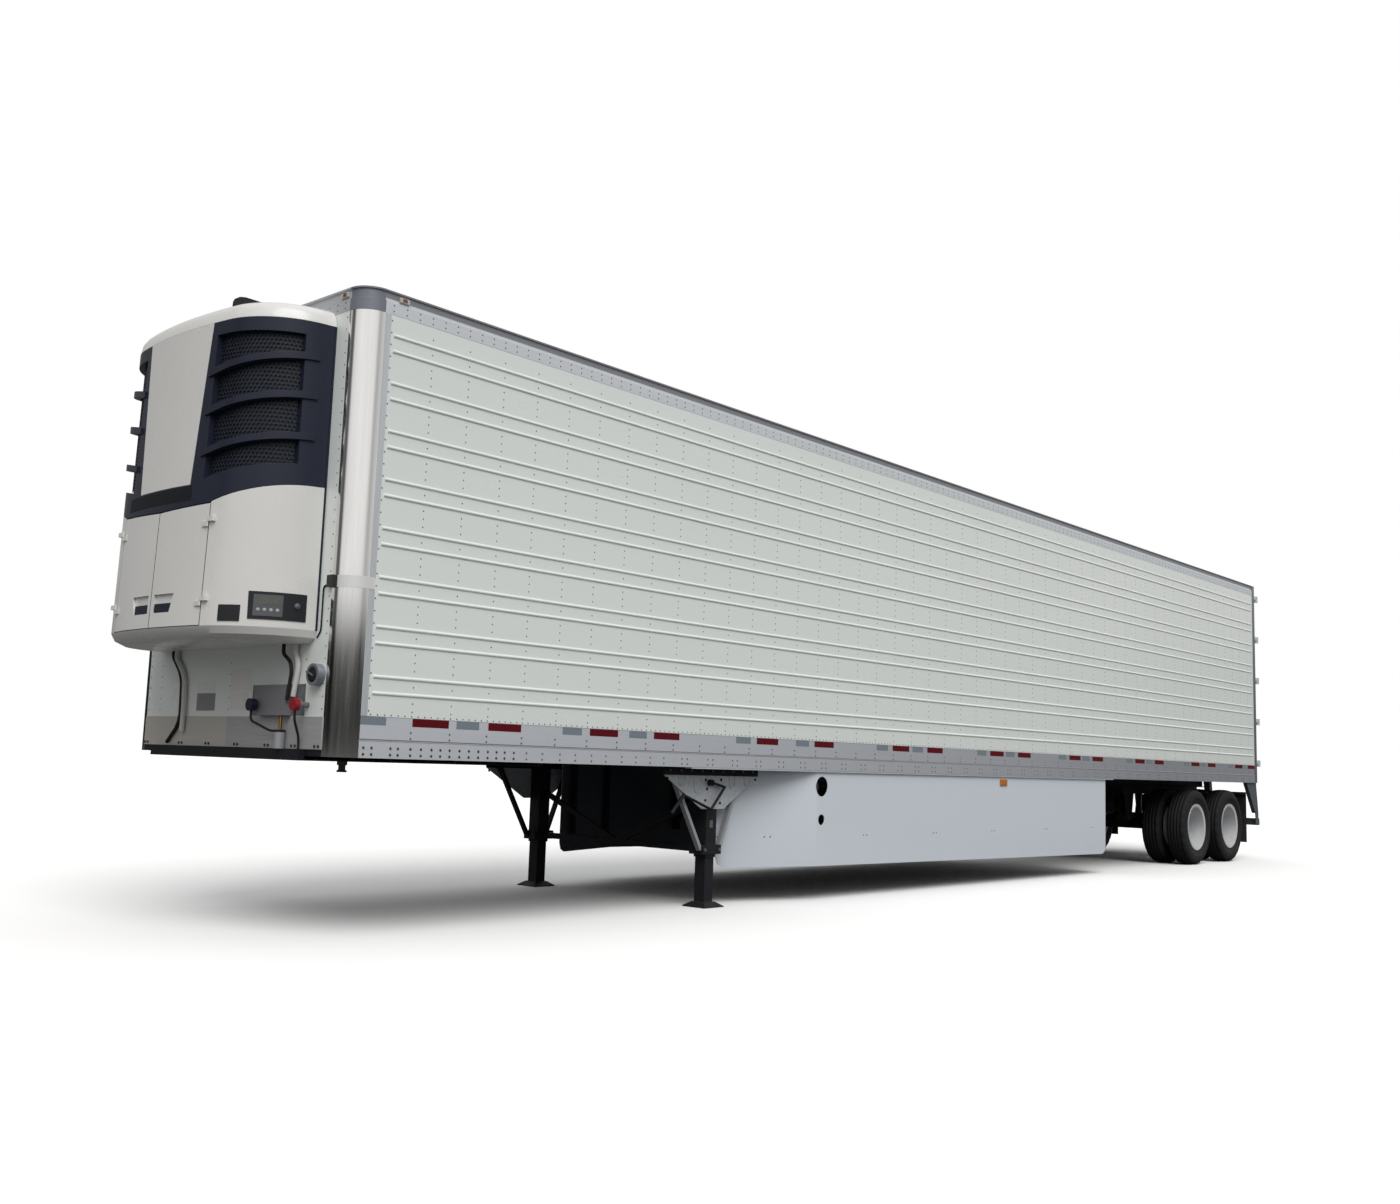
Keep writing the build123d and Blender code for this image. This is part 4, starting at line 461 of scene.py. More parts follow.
# nut and cap outlines; columns: reach, radius
NUT_SHAPE = (
    (0.0, 0.0), (0.0, 0.024), (0.006, 0.023), (0.008, 0.018), (0.027, 0.0175), (0.031, 0.012),
    (0.044, 0.011), (0.046, 0.0),
)
CAP_SHAPE = (
    (0.128, 0.0), (0.128, 0.074), (0.138, 0.072), (0.150, 0.064), (0.152, 0.042), (0.158, 0.040), (0.160, 0.0)
)
SIDES = (("left", 1), ("right", -1))
for place_name, (side_name, side) in product(("front", "rear"), SIDES):
    ending = f"{place_name}_{side_name}"
    body = f"wheel_{ending}"
    tyre_low, tyre_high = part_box(f"tyres_{ending}")
    centre = (tyre_low + tyre_high) / 2
    bm = bmesh.new()
    for offset in (-TYRE_OFFSET, TYRE_OFFSET):
        lathe(bm, tyre_outline, centre + Vector((offset, 0, 0)), (1, 0, 0), TYRE_STEPS, sipes)
    tyre_mesh = close_mesh("road_tyres", bm, True, TURN_MERGE)
    tyres = link_piece(f"road_tyres_{ending}", tyre_mesh, tyre_rubber, body)
    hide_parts(f"tyres_{ending}")
    dress(wheel_white, f"wheels_{ending}")
    bm = bmesh.new()
    for index in range(NUT_COUNT):
        angle = math.pi * (2 * index + 1) / NUT_COUNT
        out = NUT_CIRCLE * Vector((0, math.cos(angle), math.sin(angle)))
        lathe(bm, NUT_SHAPE, centre + Vector((side * DISC_FACE, 0, 0)) + out, (side, 0, 0), NUT_STEPS)
    nut_mesh = close_mesh("wheel_nuts", bm, False, TURN_MERGE)
    link_piece(f"wheel_nuts_{ending}", nut_mesh, bright_nut, body)
    bm = bmesh.new()
    lathe(bm, CAP_SHAPE, centre, (side, 0, 0), CAP_STEPS)
    cap_mesh = close_mesh("oil_cap", bm, True, TURN_MERGE)
    link_piece(f"oil_cap_{ending}", cap_mesh, cap_grey, body)

# Mud flaps: plain black rubber sheets hung behind the wheels.
# Each is clamped to its bar by a row of bolts.
flap_rubber = surface(
    "flap_rubber", (0.010, 0.010, 0.011), (0.02, 0.02, 0.02), (0.6, 0.8), scale=14.0, bump=0.0008,
    dust=(0.2, 1.0, 0.3), spec=0.2,
)
dress(flap_rubber, "mud_flaps", edge=0.0015)

# tree that sets a rivet or bolt head on each point, turned to its facing
stud_tree = bpy.data.node_groups.new("stud_rows", "GeometryNodeTree")
stud_tree.interface.new_socket("Geometry", in_out="INPUT", socket_type="NodeSocketGeometry")
STUD_INPUTS = (
    ("Radius", "NodeSocketFloat"), ("Rise", "NodeSocketFloat"), ("Sides", "NodeSocketInt"),
    ("Hexagon", "NodeSocketBool"), ("Finish", "NodeSocketMaterial"),
)
stud_sockets = {
    label: stud_tree.interface.new_socket(label, in_out="INPUT", socket_type=kind).identifier
    for label, kind in STUD_INPUTS
}
stud_tree.interface.new_socket("Geometry", in_out="OUTPUT", socket_type="NodeSocketGeometry")
stud_in = stud_tree.nodes.new("NodeGroupInput").outputs
dome = add_node(
    stud_tree, "GeometryNodeMeshUVSphere", {"Segments": stud_in["Sides"], "Rings": 4, "Radius": 1.0}
)
hexagon = add_node(stud_tree, "GeometryNodeMeshCylinder", {"Vertices": 6, "Radius": 1.0, "Depth": 2.0})
head = add_node(
    stud_tree, "GeometryNodeSwitch",
    {"Switch": stud_in["Hexagon"], "False": dome.outputs["Mesh"], "True": hexagon.outputs["Mesh"]},
    input_type="GEOMETRY",
)
head_size = add_node(
    stud_tree, "ShaderNodeCombineXYZ", {"X": stud_in["Radius"], "Y": stud_in["Radius"], "Z": stud_in["Rise"]}
)
sized = add_node(
    stud_tree, "GeometryNodeTransform", {"Geometry": head.outputs["Output"], "Scale": head_size.outputs[0]}
)
facing = add_node(
    stud_tree, "GeometryNodeInputNamedAttribute", {"Name": "facing"}, data_type="FLOAT_VECTOR"
)
aligned = add_node(
    stud_tree, "FunctionNodeAlignRotationToVector", {"Vector": facing.outputs["Attribute"]}, axis="Z"
)
placed = add_node(
    stud_tree, "GeometryNodeInstanceOnPoints",
    {
        "Points": stud_in["Geometry"], "Instance": sized.outputs["Geometry"],
        "Rotation": aligned.outputs["Rotation"],
    },
)
made_real = add_node(stud_tree, "GeometryNodeRealizeInstances", {"Geometry": placed.outputs["Instances"]})
painted = add_node(
    stud_tree, "GeometryNodeSetMaterial",
    {"Geometry": made_real.outputs["Geometry"], "Material": stud_in["Finish"]},
)
add_node(stud_tree, "NodeGroupOutput", {"Geometry": painted.outputs["Geometry"]})


def frozen(holder):
    """Plain mesh of an object as its modifiers or bevel leave it; the object goes."""
    evaluated = holder.evaluated_get(bpy.context.evaluated_depsgraph_get())
    mesh = bpy.data.meshes.new_from_object(evaluated)
    bpy.data.objects.remove(holder)
    return mesh


def studs(name, spots, size, finish, body="trailer", sides=6, hexagonal=False):
    """Rows of heads of a (radius, rise) on (place, facing) spots, kept as a plain mesh."""
    points = bpy.data.meshes.new(name)
    points.from_pydata([spot for spot, _ in spots], [], [])
    ways = points.attributes.new("facing", "FLOAT_VECTOR", "POINT")
    for value, (_, way) in zip(ways.data, spots):
        value.vector = way
    holder = new_object(name, points)
    modifier = holder.modifiers.new("rows", "NODES")
    modifier.node_group = stud_tree
    for (label, _), value in zip(STUD_INPUTS, (*size, sides, hexagonal, finish)):
        modifier[stud_sockets[label]] = value
    result = frozen(holder)
    result.polygons.foreach_set("use_smooth", [not hexagonal] * len(result.polygons))
    return link_piece(name, result, finish, body)


FLAP_BOLT = (0.011, 0.006)
FLAP_BOLT_X = (0.74, 0.84, 0.94, 1.04, 1.14, 1.24)
FLAP_BOLT_DROP = 0.03
flap_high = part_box("mud_flaps")[1]
flap_bolts = [
    ((sign * x, flap_high.y, flap_high.z - FLAP_BOLT_DROP), (0, 1, 0))
    for x, sign in product(FLAP_BOLT_X, (-1, 1))
]
studs("flap_bolts", flap_bolts, FLAP_BOLT, bright_nut, "slider", hexagonal=True)


# Landing gear: square telescoping legs under black paint, braced fore, aft and across.
# Pressed galvanised wing plates spread their load into the frame; the near braces are galvanised too.
def areas(*rows):
    """Painted zones; rows are low x, station, height, high x, station, height, colour."""
    return [((x0, nose + s0, z0), (x1, nose + s1, z1), tone) for x0, s0, z0, x1, s1, z1, tone in rows]


def side_spots(face, pairs):
    """Spots on both sides at a distance from the middle; pairs are station, height."""
    pairs = list(pairs)
    return [((sign * face, nose + s, z), (sign, 0, 0)) for sign in (-1, 1) for s, z in pairs]


def side_boxes(face, thick, spans, signs=(-1, 1)):
    """Plates on the sides; spans are low station, high station, low height, high height."""
    boxes = []
    for sign in signs:
        x0, x1 = sorted((sign * face, sign * (face + thick)))
        boxes += [((x0, nose + s0, z0), (x1, nose + s1, z1)) for s0, s1, z0, z1 in spans]
    return boxes


def tubes(name, routes, radius, finish):
    """Round bars or pressed beads along open routes of points."""
    curve = bpy.data.curves.new(name, "CURVE")
    curve.dimensions = "3D"
    curve.bevel_depth = radius
    curve.bevel_resolution = 2
    curve.use_fill_caps = True
    for route in routes:
        spline = curve.splines.new("POLY")
        spline.points.add(len(route) - 1)
        for point, spot in zip(spline.points, route):
            point.co = (*spot, 1)
    return link_piece(name, frozen(new_object(name, curve)), finish)


def slabs(name, boxes, finish, body="trailer", edge=0.0):
    """Flat plates given by their two corners, with eased edges."""
    bm = bmesh.new()
    for low, high in boxes:
        low, high = Vector(low), Vector(high)
        made = bmesh.ops.create_cube(bm, size=1.0)["verts"]
        bmesh.ops.scale(bm, vec=high - low, verts=made)
        bmesh.ops.translate(bm, vec=(low + high) / 2, verts=made)
    if edge:
        bmesh.ops.bevel(
            bm, geom=bm.edges[:], offset=edge, segments=2, profile=0.5, affect="EDGES", clamp_overlap=True
        )
    return link_piece(name, close_mesh(name, bm), finish, body)


PLATE_TOP = 1.056
galvanised = surface(
    "galvanised", (0.66, 0.69, 0.72), (0.50, 0.53, 0.56), (0.35, 0.55), metal=0.3, scale=26.0, bump=0.0003
)
brace_paint = surface(
    "brace_paint", (0.009, 0.0095, 0.012), (0.018, 0.019, 0.022), (0.4, 0.6), scale=45.0, bump=0.0004,
    spec=0.22, zones=areas((0.965, 2.0, 0.3, 1.3, 5.2, PLATE_TOP, (0.34, 0.355, 0.37))),
)
dress(chassis_black, "landing_legs", "landing_feet", edge=0.003)
dress(chassis_black, "leg_crank")
dress(brace_paint, "leg_braces", edge=0.002)
dress(galvanised, "leg_wing_plates", edge=0.001)
PLATE_FACE = 1.0865
# pressed U beads of the wing plates; columns: station, foot height
PLATE_BEADS = ((3.363, 0.978), (3.556, 0.921), (3.991, 0.956), (4.188, 0.978))
BEAD_HALF = 0.036
BEAD_R = 0.006
BEAD_STEPS = 8
# punched holes; columns: station, height
PLATE_HOLES = (
    (3.656, 1.028), (3.851, 1.030), (3.677, 0.954), (3.658, 0.862), (3.845, 0.839), (3.190, 1.036),
    (4.300, 1.036),
)
PLATE_HOLE = (0.013, 0.0006)
STRIP_BOLT = (0.011, 0.006)
STRIP_START = 3.22
STRIP_PITCH = 0.13
STRIP_COUNT = 9
STRIP_Z = 1.10
LEG_FACE = 1.0785
LEG_S = 3.751
LEG_PLATE = (LEG_S - 0.02, LEG_S + 0.02, 0.64, 0.70)
LEG_PLATE_THICK = 0.001
CLAMP_FACE = 1.091
CLAMP_BOLT = (0.014, 0.008)
CLAMP_BOLTS = ((LEG_S - 0.085, 0.462), (LEG_S + 0.095, 0.462))
bead_routes = []
for sign, (s, foot) in product((-1, 1), PLATE_BEADS):
    x = sign * PLATE_FACE
    route = [(x, nose + s - BEAD_HALF, PLATE_TOP)]
    for step in range(BEAD_STEPS + 1):
        angle = math.pi * (1 + step / BEAD_STEPS)
        y = nose + s + BEAD_HALF * math.cos(angle)
        route.append((x, y, foot + BEAD_HALF + BEAD_HALF * math.sin(angle)))
    route.append((x, nose + s + BEAD_HALF, PLATE_TOP))
    bead_routes.append(route)
strip_row = [STRIP_START + STRIP_PITCH * index for index in range(STRIP_COUNT)]
strip_spots = side_spots(PLATE_FACE, [(s, STRIP_Z) for s in strip_row])
clamp_spots = side_spots(CLAMP_FACE, CLAMP_BOLTS)
leg_plates = side_boxes(LEG_FACE, LEG_PLATE_THICK, [LEG_PLATE])
# the punched holes are dark discs on the plate: painted shade in the holes
hole_shade = surface(
    "hole_shade", (0.006, 0.006, 0.007), (0.01, 0.01, 0.011), (0.7, 0.9), scale=80.0, spec=0.05
)
strip_bolt = surface(
    "strip_bolt", (0.14, 0.14, 0.145), (0.2, 0.2, 0.2), (0.4, 0.6), metal=0.5, scale=80.0
)
hole_spots = side_spots(PLATE_FACE, PLATE_HOLES)
tubes("wing_plate_beads", bead_routes, BEAD_R, galvanised)
studs("wing_plate_holes", hole_spots, PLATE_HOLE, hole_shade, sides=14)
studs("leg_clamp_bolts", clamp_spots, CLAMP_BOLT, strip_bolt, hexagonal=True)
slabs("leg_plates", leg_plates, strip_bolt, edge=0.0004)
studs("wing_plate_bolts", strip_spots, STRIP_BOLT, strip_bolt, hexagonal=True)

# Bottom rails: deep aluminium extrusions with a ridge, riveted to the side sheets.
# Bolts through the lower band hold the cross beams and are closest over the coupler.
# painted shade: a dark band along the step under the rail's ridge. The rail also darkens towards the rear.
rail_aluminium = surface(
    "rail_aluminium", (0.63, 0.655, 0.70), (0.57, 0.595, 0.64), (0.34, 0.48), metal=0.15, scale=5.0,
    stretch=(20, 0.25, 20), dust=(1.0, 1.5, 0.15),
    zones=areas((-1.4, -1.0, 1.2395, 1.4, 17.0, 1.2465, (0.10, 0.10, 0.105))),
    rearward=(nose + 1.0, nose + 12.5, (0.30, 0.315, 0.345)),
)
dark_bolt = surface(
    "dark_bolt", (0.03, 0.03, 0.032), (0.06, 0.06, 0.06), (0.35, 0.55), metal=0.4, scale=80.0
)
# the bottom and top rail rivets are given a mid grey, darker than their bright metal: painted shade round
# each head
rail_rivet_shade = surface(
    "rail_rivet_shade", (0.16, 0.165, 0.17), (0.11, 0.115, 0.12), (0.3, 0.45), metal=0.5, scale=80.0
)
dress(rail_aluminium, "bottom_rails", edge=0.001)
rail_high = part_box("bottom_rails")[1]
rear_end = rail_high.y - nose
LOWER_BAND = rail_high.x - 0.0025
UPPER_BAND = rail_high.x - 0.008
BOLT_ROWS = (1.152, 1.192)
POST_ROWS = (1.258, 1.295)
POST_START = 0.543
POST_PITCH = 0.3105
# bolt stations over the coupler, then of the plain beams
HEAVY_BOLTS = (
    0.19, 0.25, 0.391, 0.448, 0.544, 0.626, 0.71, 0.781, 0.856, 0.938, 1.016, 1.096, 1.178, 1.253, 1.325,
    1.407,
)
LIGHT_BOLTS = (1.522, 1.668, 1.835, 1.984, 2.146, 2.293, 2.46, 2.61, 2.767, 2.92)
CLUSTER_START = 3.16
CLUSTER_PITCH = 0.308
CLUSTER_HALF = 0.031
REAR_MARGIN = 0.1
RAIL_BOLT = (0.0095, 0.005)
RAIL_RIVET = (0.0075, 0.0036)


def row(start, end, pitch):
    """Evenly pitched stations from start up to end."""
    return [start + pitch * index for index in range(int((end - start) / pitch) + 1)]


posts = row(POST_START, rear_end - REAR_MARGIN, POST_PITCH)
clusters = row(CLUSTER_START, rear_end - REAR_MARGIN, CLUSTER_PITCH)
pairs = [s + shift for s in clusters for shift in (-CLUSTER_HALF, CLUSTER_HALF)]
heavy = side_spots(LOWER_BAND, product(HEAVY_BOLTS, BOLT_ROWS))
light = side_spots(LOWER_BAND, product((*LIGHT_BOLTS, *pairs), BOLT_ROWS))
light += side_spots(UPPER_BAND, product(posts, POST_ROWS))
studs("rail_bolts", heavy, RAIL_BOLT, dark_bolt, sides=8)
studs("rail_rivets", light, RAIL_RIVET, rail_rivet_shade, sides=8)

# Side walls: white painted sheet with pairs of pressed beads, riveted to posts about every foot.
# Red and white reflecting tape runs along the rail under the sheet.
white_sheet = surface(
    "white_sheet", (0.83, 0.872, 0.848), (0.815, 0.856, 0.832), (0.24, 0.34), scale=0.9, stretch=(1, 0.5, 1),
    dust=(1.1, 1.9, 0.10), coat=0.1,
)
dress(white_sheet, "side_walls")
wall_low, wall_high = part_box("side_walls")
skin_x = wall_high.x - 0.008
# the sheet rivets, here and on the front, are given a dark grey in place of the sheet's white: painted shade
# round each head
sheet_rivet_shade = surface(
    "sheet_rivet_shade", (0.07, 0.075, 0.07), (0.05, 0.055, 0.05), (0.35, 0.5), scale=90.0
)
BEAD_PITCH = 0.3125
BEAD_TOP = 0.136
BEAD_PAIRS = 8
# rivet heights from each upper bead
RIVET_SHIFTS = (0.052, -0.0515, -0.155, -0.207)
RIVET_MARGIN = 0.03
SHEET_RIVET = (0.0056, 0.0026)
FOOT_START = 0.23
FOOT_PITCH = 0.0518
FOOT_RISE = 0.010
END_MARGIN = 0.05
bead_tops = [wall_high.z - BEAD_TOP - BEAD_PITCH * pair for pair in range(BEAD_PAIRS)]
heights = [z + shift for z in bead_tops for shift in RIVET_SHIFTS if z + shift > wall_low.z + RIVET_MARGIN]
foot_row = row(FOOT_START, rear_end - END_MARGIN, FOOT_PITCH)
rivet_spots = side_spots(skin_x, product(posts, heights))
rivet_spots += side_spots(skin_x, [(s, wall_low.z + FOOT_RISE) for s in foot_row])
studs("sheet_rivets", rivet_spots, SHEET_RIVET, sheet_rivet_shade, sides=5)
# the white reflecting tape, here, on the doors and on the guard, is given a dark blue-grey: painted shade
# over its white
TAPE_RED_TONE = (0.13, 0.005, 0.011)
WHITE_TAPE_SHADE_TONE = (0.22, 0.265, 0.30)
tape_red = surface(
    "tape_red", TAPE_RED_TONE, (0.10, 0.005, 0.009), (0.55, 0.7), scale=120.0, bump=0.0002, spec=0.1
)
tape_white = surface(
    "tape_white", WHITE_TAPE_SHADE_TONE, (0.19, 0.23, 0.265), (0.4, 0.55), scale=120.0, bump=0.0002, spec=0.15
)
TAPE_Z = (1.334, 1.385)
TAPE_THICK = 0.0008
RED_LENGTH = 0.29
WHITE_LENGTH = 0.19
WHITE_BEFORE = 0.27
FIRST_WHITE = 0.16
RED_STARTS = (
    0.552, 1.176, 2.125, 2.805, 4.06, 4.87, 6.12, 6.74, 7.99, 8.60, 9.84, 10.45, 11.68, 12.29, 13.53, 14.13,
    15.19, 15.71,
)
white_starts = (FIRST_WHITE, *(start - WHITE_BEFORE for start in RED_STARTS[1:]))
for name, starts, length, finish, slot in (
    ("side_tape_red", RED_STARTS, RED_LENGTH, tape_red, "red_lens"),
    ("side_tape_white", white_starts, WHITE_LENGTH, tape_white, "rail_aluminium"),
):
    strips = side_boxes(UPPER_BAND, TAPE_THICK, [(start, start + length, *TAPE_Z) for start in starts])
    slabs(name, strips, finish)

# Front: riveted white sheet between polished stainless corner posts, over a stainless kick plate.
# Blank plates sit on the sheet under the unit; the kick plate is bolted on above the nose bar.
polished_steel = surface(
    "polished_steel", (0.82, 0.81, 0.79), (0.74, 0.735, 0.72), (0.06, 0.13), metal=1.0, scale=4.0,
    stretch=(9, 9, 0.3),
)
kick_steel = surface(
    "kick_steel", (0.48, 0.48, 0.49), (0.40, 0.40, 0.41), (0.35, 0.5), metal=0.2, scale=9.0,
    stretch=(0.4, 8, 8), dust=(1.1, 1.5, 0.2),
    zones=areas((-1.3, -0.1, 1.1, 0.0, 0.1, 1.4, (0.55, 0.525, 0.48))),
)
dress(white_sheet, "front_wall")
dress(polished_steel, "corner_posts")
dress(kick_steel, "kick_plate", edge=0.001)
FORWARD = (0, -1, 0)
RIVET_COLUMNS = (-1.105, -0.94, 0.0, 0.903, 1.105)
UNIT_COVER_X = 1.02
UNIT_COVER_Z = 1.8
rivet_heights = row(1.42, 3.93, 0.078)
front_spots = [
    ((x, nose, z), FORWARD)
    for x, z in product(RIVET_COLUMNS, rivet_heights)
    if abs(x) > UNIT_COVER_X or z < UNIT_COVER_Z
]
studs("front_rivets", front_spots, SHEET_RIVET, sheet_rivet_shade, sides=5)
# flat trims that close the sheet's edge against the posts; columns: side, low z, high z
POST_TRIMS = ((1, 1.388, 2.173), (1, 2.252, 3.957), (-1, 1.388, 3.957))
TRIM_S = (0.160, 0.206)
TRIM_THICK = 0.0014
trim_boxes = []
for sign, z0, z1 in POST_TRIMS:
    trim_boxes += side_boxes(skin_x, TRIM_THICK, [(*TRIM_S, z0, z1)], (sign,))
trim_steel = surface(
    "trim_steel", (0.62, 0.645, 0.68), (0.55, 0.575, 0.61), (0.2, 0.35), metal=0.3, scale=5.0,
    stretch=(9, 9, 0.3),
)
slabs("post_trims", trim_boxes, trim_steel, edge=0.0005)
POST_RIVET = (0.0056, 0.0028)
POST_RIVET_S = 0.214
post_spots = side_spots(skin_x, [(POST_RIVET_S, z) for z in rivet_heights])
studs("post_rivets", post_spots, POST_RIVET, sheet_rivet_shade, sides=6)
KICK_BOLT = (0.010, 0.005)
KICK_BOLTS = (-1.09, -0.599, -0.233, 0.138, 0.513, 0.825, 1.082)
KICK_BOLT_HALF = 0.02
KICK_BOLT_Z = 1.19
kick_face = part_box("kick_plate")[0].y
kick_spots = [
    ((x + shift, kick_face, KICK_BOLT_Z), FORWARD)
    for x in KICK_BOLTS for shift in (-KICK_BOLT_HALF, KICK_BOLT_HALF)
]
studs("kick_bolts", kick_spots, KICK_BOLT, dark_bolt, hexagonal=True)
plate_grey = surface(
    "plate_grey", (0.30, 0.30, 0.30), (0.22, 0.22, 0.22), (0.4, 0.6), metal=0.2, scale=90.0
)
plate_white = surface("plate_white", (0.80, 0.79, 0.76), (0.72, 0.71, 0.68), (0.35, 0.5), scale=40.0)
PLATE_THICK = 0.0016
# blank plates; columns: name, finish, low x, high x, low z, high z
PLATES = (
    ("plate_low_right", plate_grey, -0.425, -0.18, 1.412, 1.531),
    ("plate_high_right", plate_white, -0.423, -0.20, 1.542, 1.604),
    ("plate_high_left", plate_white, 0.012, 0.27, 1.543, 1.688),
    ("plate_low_left", plate_white, 0.020, 0.24, 1.418, 1.533),
)
for name, finish, x0, x1, z0, z1 in PLATES:
    slabs(name, [((x0, nose - PLATE_THICK, z0), (x1, nose, z1))], finish, edge=0.0005)

# Roof and top rails: aluminium extrusions riveted round the white roof sheet.
# The front header is rounded at its corners.
CORNER_TONE = (0.19, 0.205, 0.24)
top_aluminium = surface(
    "top_aluminium", (0.52, 0.535, 0.56), (0.46, 0.475, 0.50), (0.34, 0.48), metal=0.15, scale=5.0,
    stretch=(20, 0.25, 20),
    zones=areas(
        (-1.4, -0.1, 3.9, -1.128, 0.16, 4.2, CORNER_TONE), (1.128, -0.1, 3.9, 1.4, 0.16, 4.2, CORNER_TONE)
    ),
)
side_rail_aluminium = surface(
    "side_rail_aluminium", (0.70, 0.73, 0.76), (0.65, 0.68, 0.71), (0.34, 0.48), metal=0.15, scale=5.0,
    stretch=(20, 0.25, 20), zones=areas((-1.4, -1.0, 4.055, 1.4, 17.0, 4.2, (0.24, 0.245, 0.265))),
)
dress(top_aluminium, "front_header")
dress(side_rail_aluminium, "top_rails")
dress(white_sheet, "roof")
top_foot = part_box("top_rails")[0].z
TOP_ROWS = (top_foot + 0.022, top_foot + 0.060)
TOP_RIVET = (0.006, 0.003)
RAIL_STEP = 0.0015
top_spots = side_spots(skin_x + RAIL_STEP, product(row(0.22, rear_end - END_MARGIN, 0.104), TOP_ROWS))
top_spots += [((x, nose - RAIL_STEP, z), FORWARD) for x, z in product(row(-1.08, 1.09, 0.09), TOP_ROWS)]
studs("top_rivets", top_spots, TOP_RIVET, rail_rivet_shade, sides=6)

# Rear end: steel frame, two swing doors with lock rods, and the guard below.
# The doors are white panels in black seals, with blank reflecting tape along the sill and the guard.
rear_steel = surface(
    "rear_steel", (0.20, 0.215, 0.235), (0.15, 0.16, 0.175), (0.25, 0.42), metal=0.4, scale=7.0,
    stretch=(6, 6, 0.4), dust=(1.0, 1.6, 0.2),
)
# guard tape: strip length, and its foot and head over the guard's foot
GUARD_STRIP = 0.285
GUARD_FOOT = 0.022
GUARD_HEAD = 0.075
FACE_REACH = 0.002
guard_low, guard_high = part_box("rear_guard")
# the guard's white strips take the white tape's dark blue-grey, painted shade
guard_zones = []
for index, x in enumerate(row(-1.15, 1.1, 0.29)):
    low = (x, guard_high.y - FACE_REACH, guard_low.z + GUARD_FOOT)
    high = (x + GUARD_STRIP, guard_high.y + FACE_REACH, guard_low.z + GUARD_HEAD)
    guard_zones.append((low, high, TAPE_RED_TONE if index % 2 else WHITE_TAPE_SHADE_TONE))
guard_steel = surface(
    "guard_steel", (0.105, 0.125, 0.145), (0.075, 0.09, 0.105), (0.4, 0.6), metal=0.3, scale=24.0,
    bump=0.0003, dust=(0.2, 1.2, 0.2), zones=guard_zones,
)
dress(rear_steel, "rear_posts", "rear_header", "rear_sill", edge=0.002)
dress(white_sheet, "door_left", "door_right", edge=0.003)
dress(galvanised, "door_gear_left", "door_gear_right", "door_mountings", edge=0.001)
dress(guard_steel, "rear_guard", edge=0.003)
seal_rubber = surface(
    "seal_rubber", (0.012, 0.012, 0.013), (0.02, 0.02, 0.021), (0.5, 0.7), scale=60.0, spec=0.2
)
SEAL_WIDTH = 0.016
SEAL_RISE = 0.0025
DOOR_TAPE_Z = (1.36, 1.41)
DOOR_STRIP = 0.18
for side_name, sign in SIDES:
    door_low, door_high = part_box(f"door_{side_name}")
    x0, x1 = door_low.x, door_high.x
    z0, z1 = door_low.z, door_high.z
    face = door_high.y
    strips = (
        ((x0, z0), (x1, z0 + SEAL_WIDTH)), ((x0, z1 - SEAL_WIDTH), (x1, z1)),
        ((x0, z0 + SEAL_WIDTH), (x0 + SEAL_WIDTH, z1 - SEAL_WIDTH)),
        ((x1 - SEAL_WIDTH, z0 + SEAL_WIDTH), (x1, z1 - SEAL_WIDTH)),
    )
    boxes = [((a[0], face, a[1]), (b[0], face + SEAL_RISE, b[1])) for a, b in strips]
    body = f"rear_door_{side_name}"
    slabs(f"door_seal_{side_name}", boxes, seal_rubber, body, edge=0.0008)
    tapes = []
    for x in row(0.06, 1.0, 0.19):
        near, far = sorted((sign * x, sign * (x + DOOR_STRIP)))
        tapes.append(((near, face, DOOR_TAPE_Z[0]), (far, face + TAPE_THICK, DOOR_TAPE_Z[1])))
    slabs(f"door_tape_red_{side_name}", tapes[::2], tape_red, body)
    slabs(f"door_tape_white_{side_name}", tapes[1::2], tape_white, body)

# Side skirts: pale fibre panels hung under the rails on folding stays, with painted shade on their inward
# faces.
# A hole gives access to the tank's filler, a smaller one to its gauge.
# the skirts' inward faces take a dark blue-grey: painted shade inside the skirts
skirt_white = surface(
    "skirt_white", (0.70, 0.755, 0.82), (0.68, 0.735, 0.80), (0.3, 0.42), scale=1.1, stretch=(1, 0.6, 1),
    dust=(0.1, 0.7, 0.1), inner=(0.075, 0.086, 0.115),
)
tank_aluminium = surface(
    "tank_aluminium", (0.5, 0.51, 0.52), (0.42, 0.43, 0.44), (0.25, 0.4), metal=1.0, scale=6.0,
    stretch=(0.3, 12, 12),
)
dress(skirt_white, "side_skirts")
dress(chassis_black, "skirt_stays")
dress(tank_aluminium, "fuel_tank")
SKIRT_FACE = 1.268
SKIRT_BEND = 4.940
SKIRT_TURN = math.radians(17.8)
SKIRT_SCREW = (0.007, 0.003)
SKIRT_SCREWS = (
    3.975, 4.03, 4.425, 4.483, 5.68, 5.735, 6.90, 6.955, 8.065, 8.12, 9.27, 9.325, 10.44, 10.495
)
SKIRT_SCREW_Z = 0.553
screw_spots = []
for sign, s in product((-1, 1), SKIRT_SCREWS):
    inset = max(SKIRT_BEND - s, 0.0) * math.tan(SKIRT_TURN)
    turned = (sign * math.cos(SKIRT_TURN), -math.sin(SKIRT_TURN), 0)
    way = (sign, 0, 0) if s > SKIRT_BEND else turned
    screw_spots.append(((sign * (SKIRT_FACE - inset), nose + s, SKIRT_SCREW_Z), way))
studs("skirt_screws", screw_spots, SKIRT_SCREW, dark_bolt, sides=8)

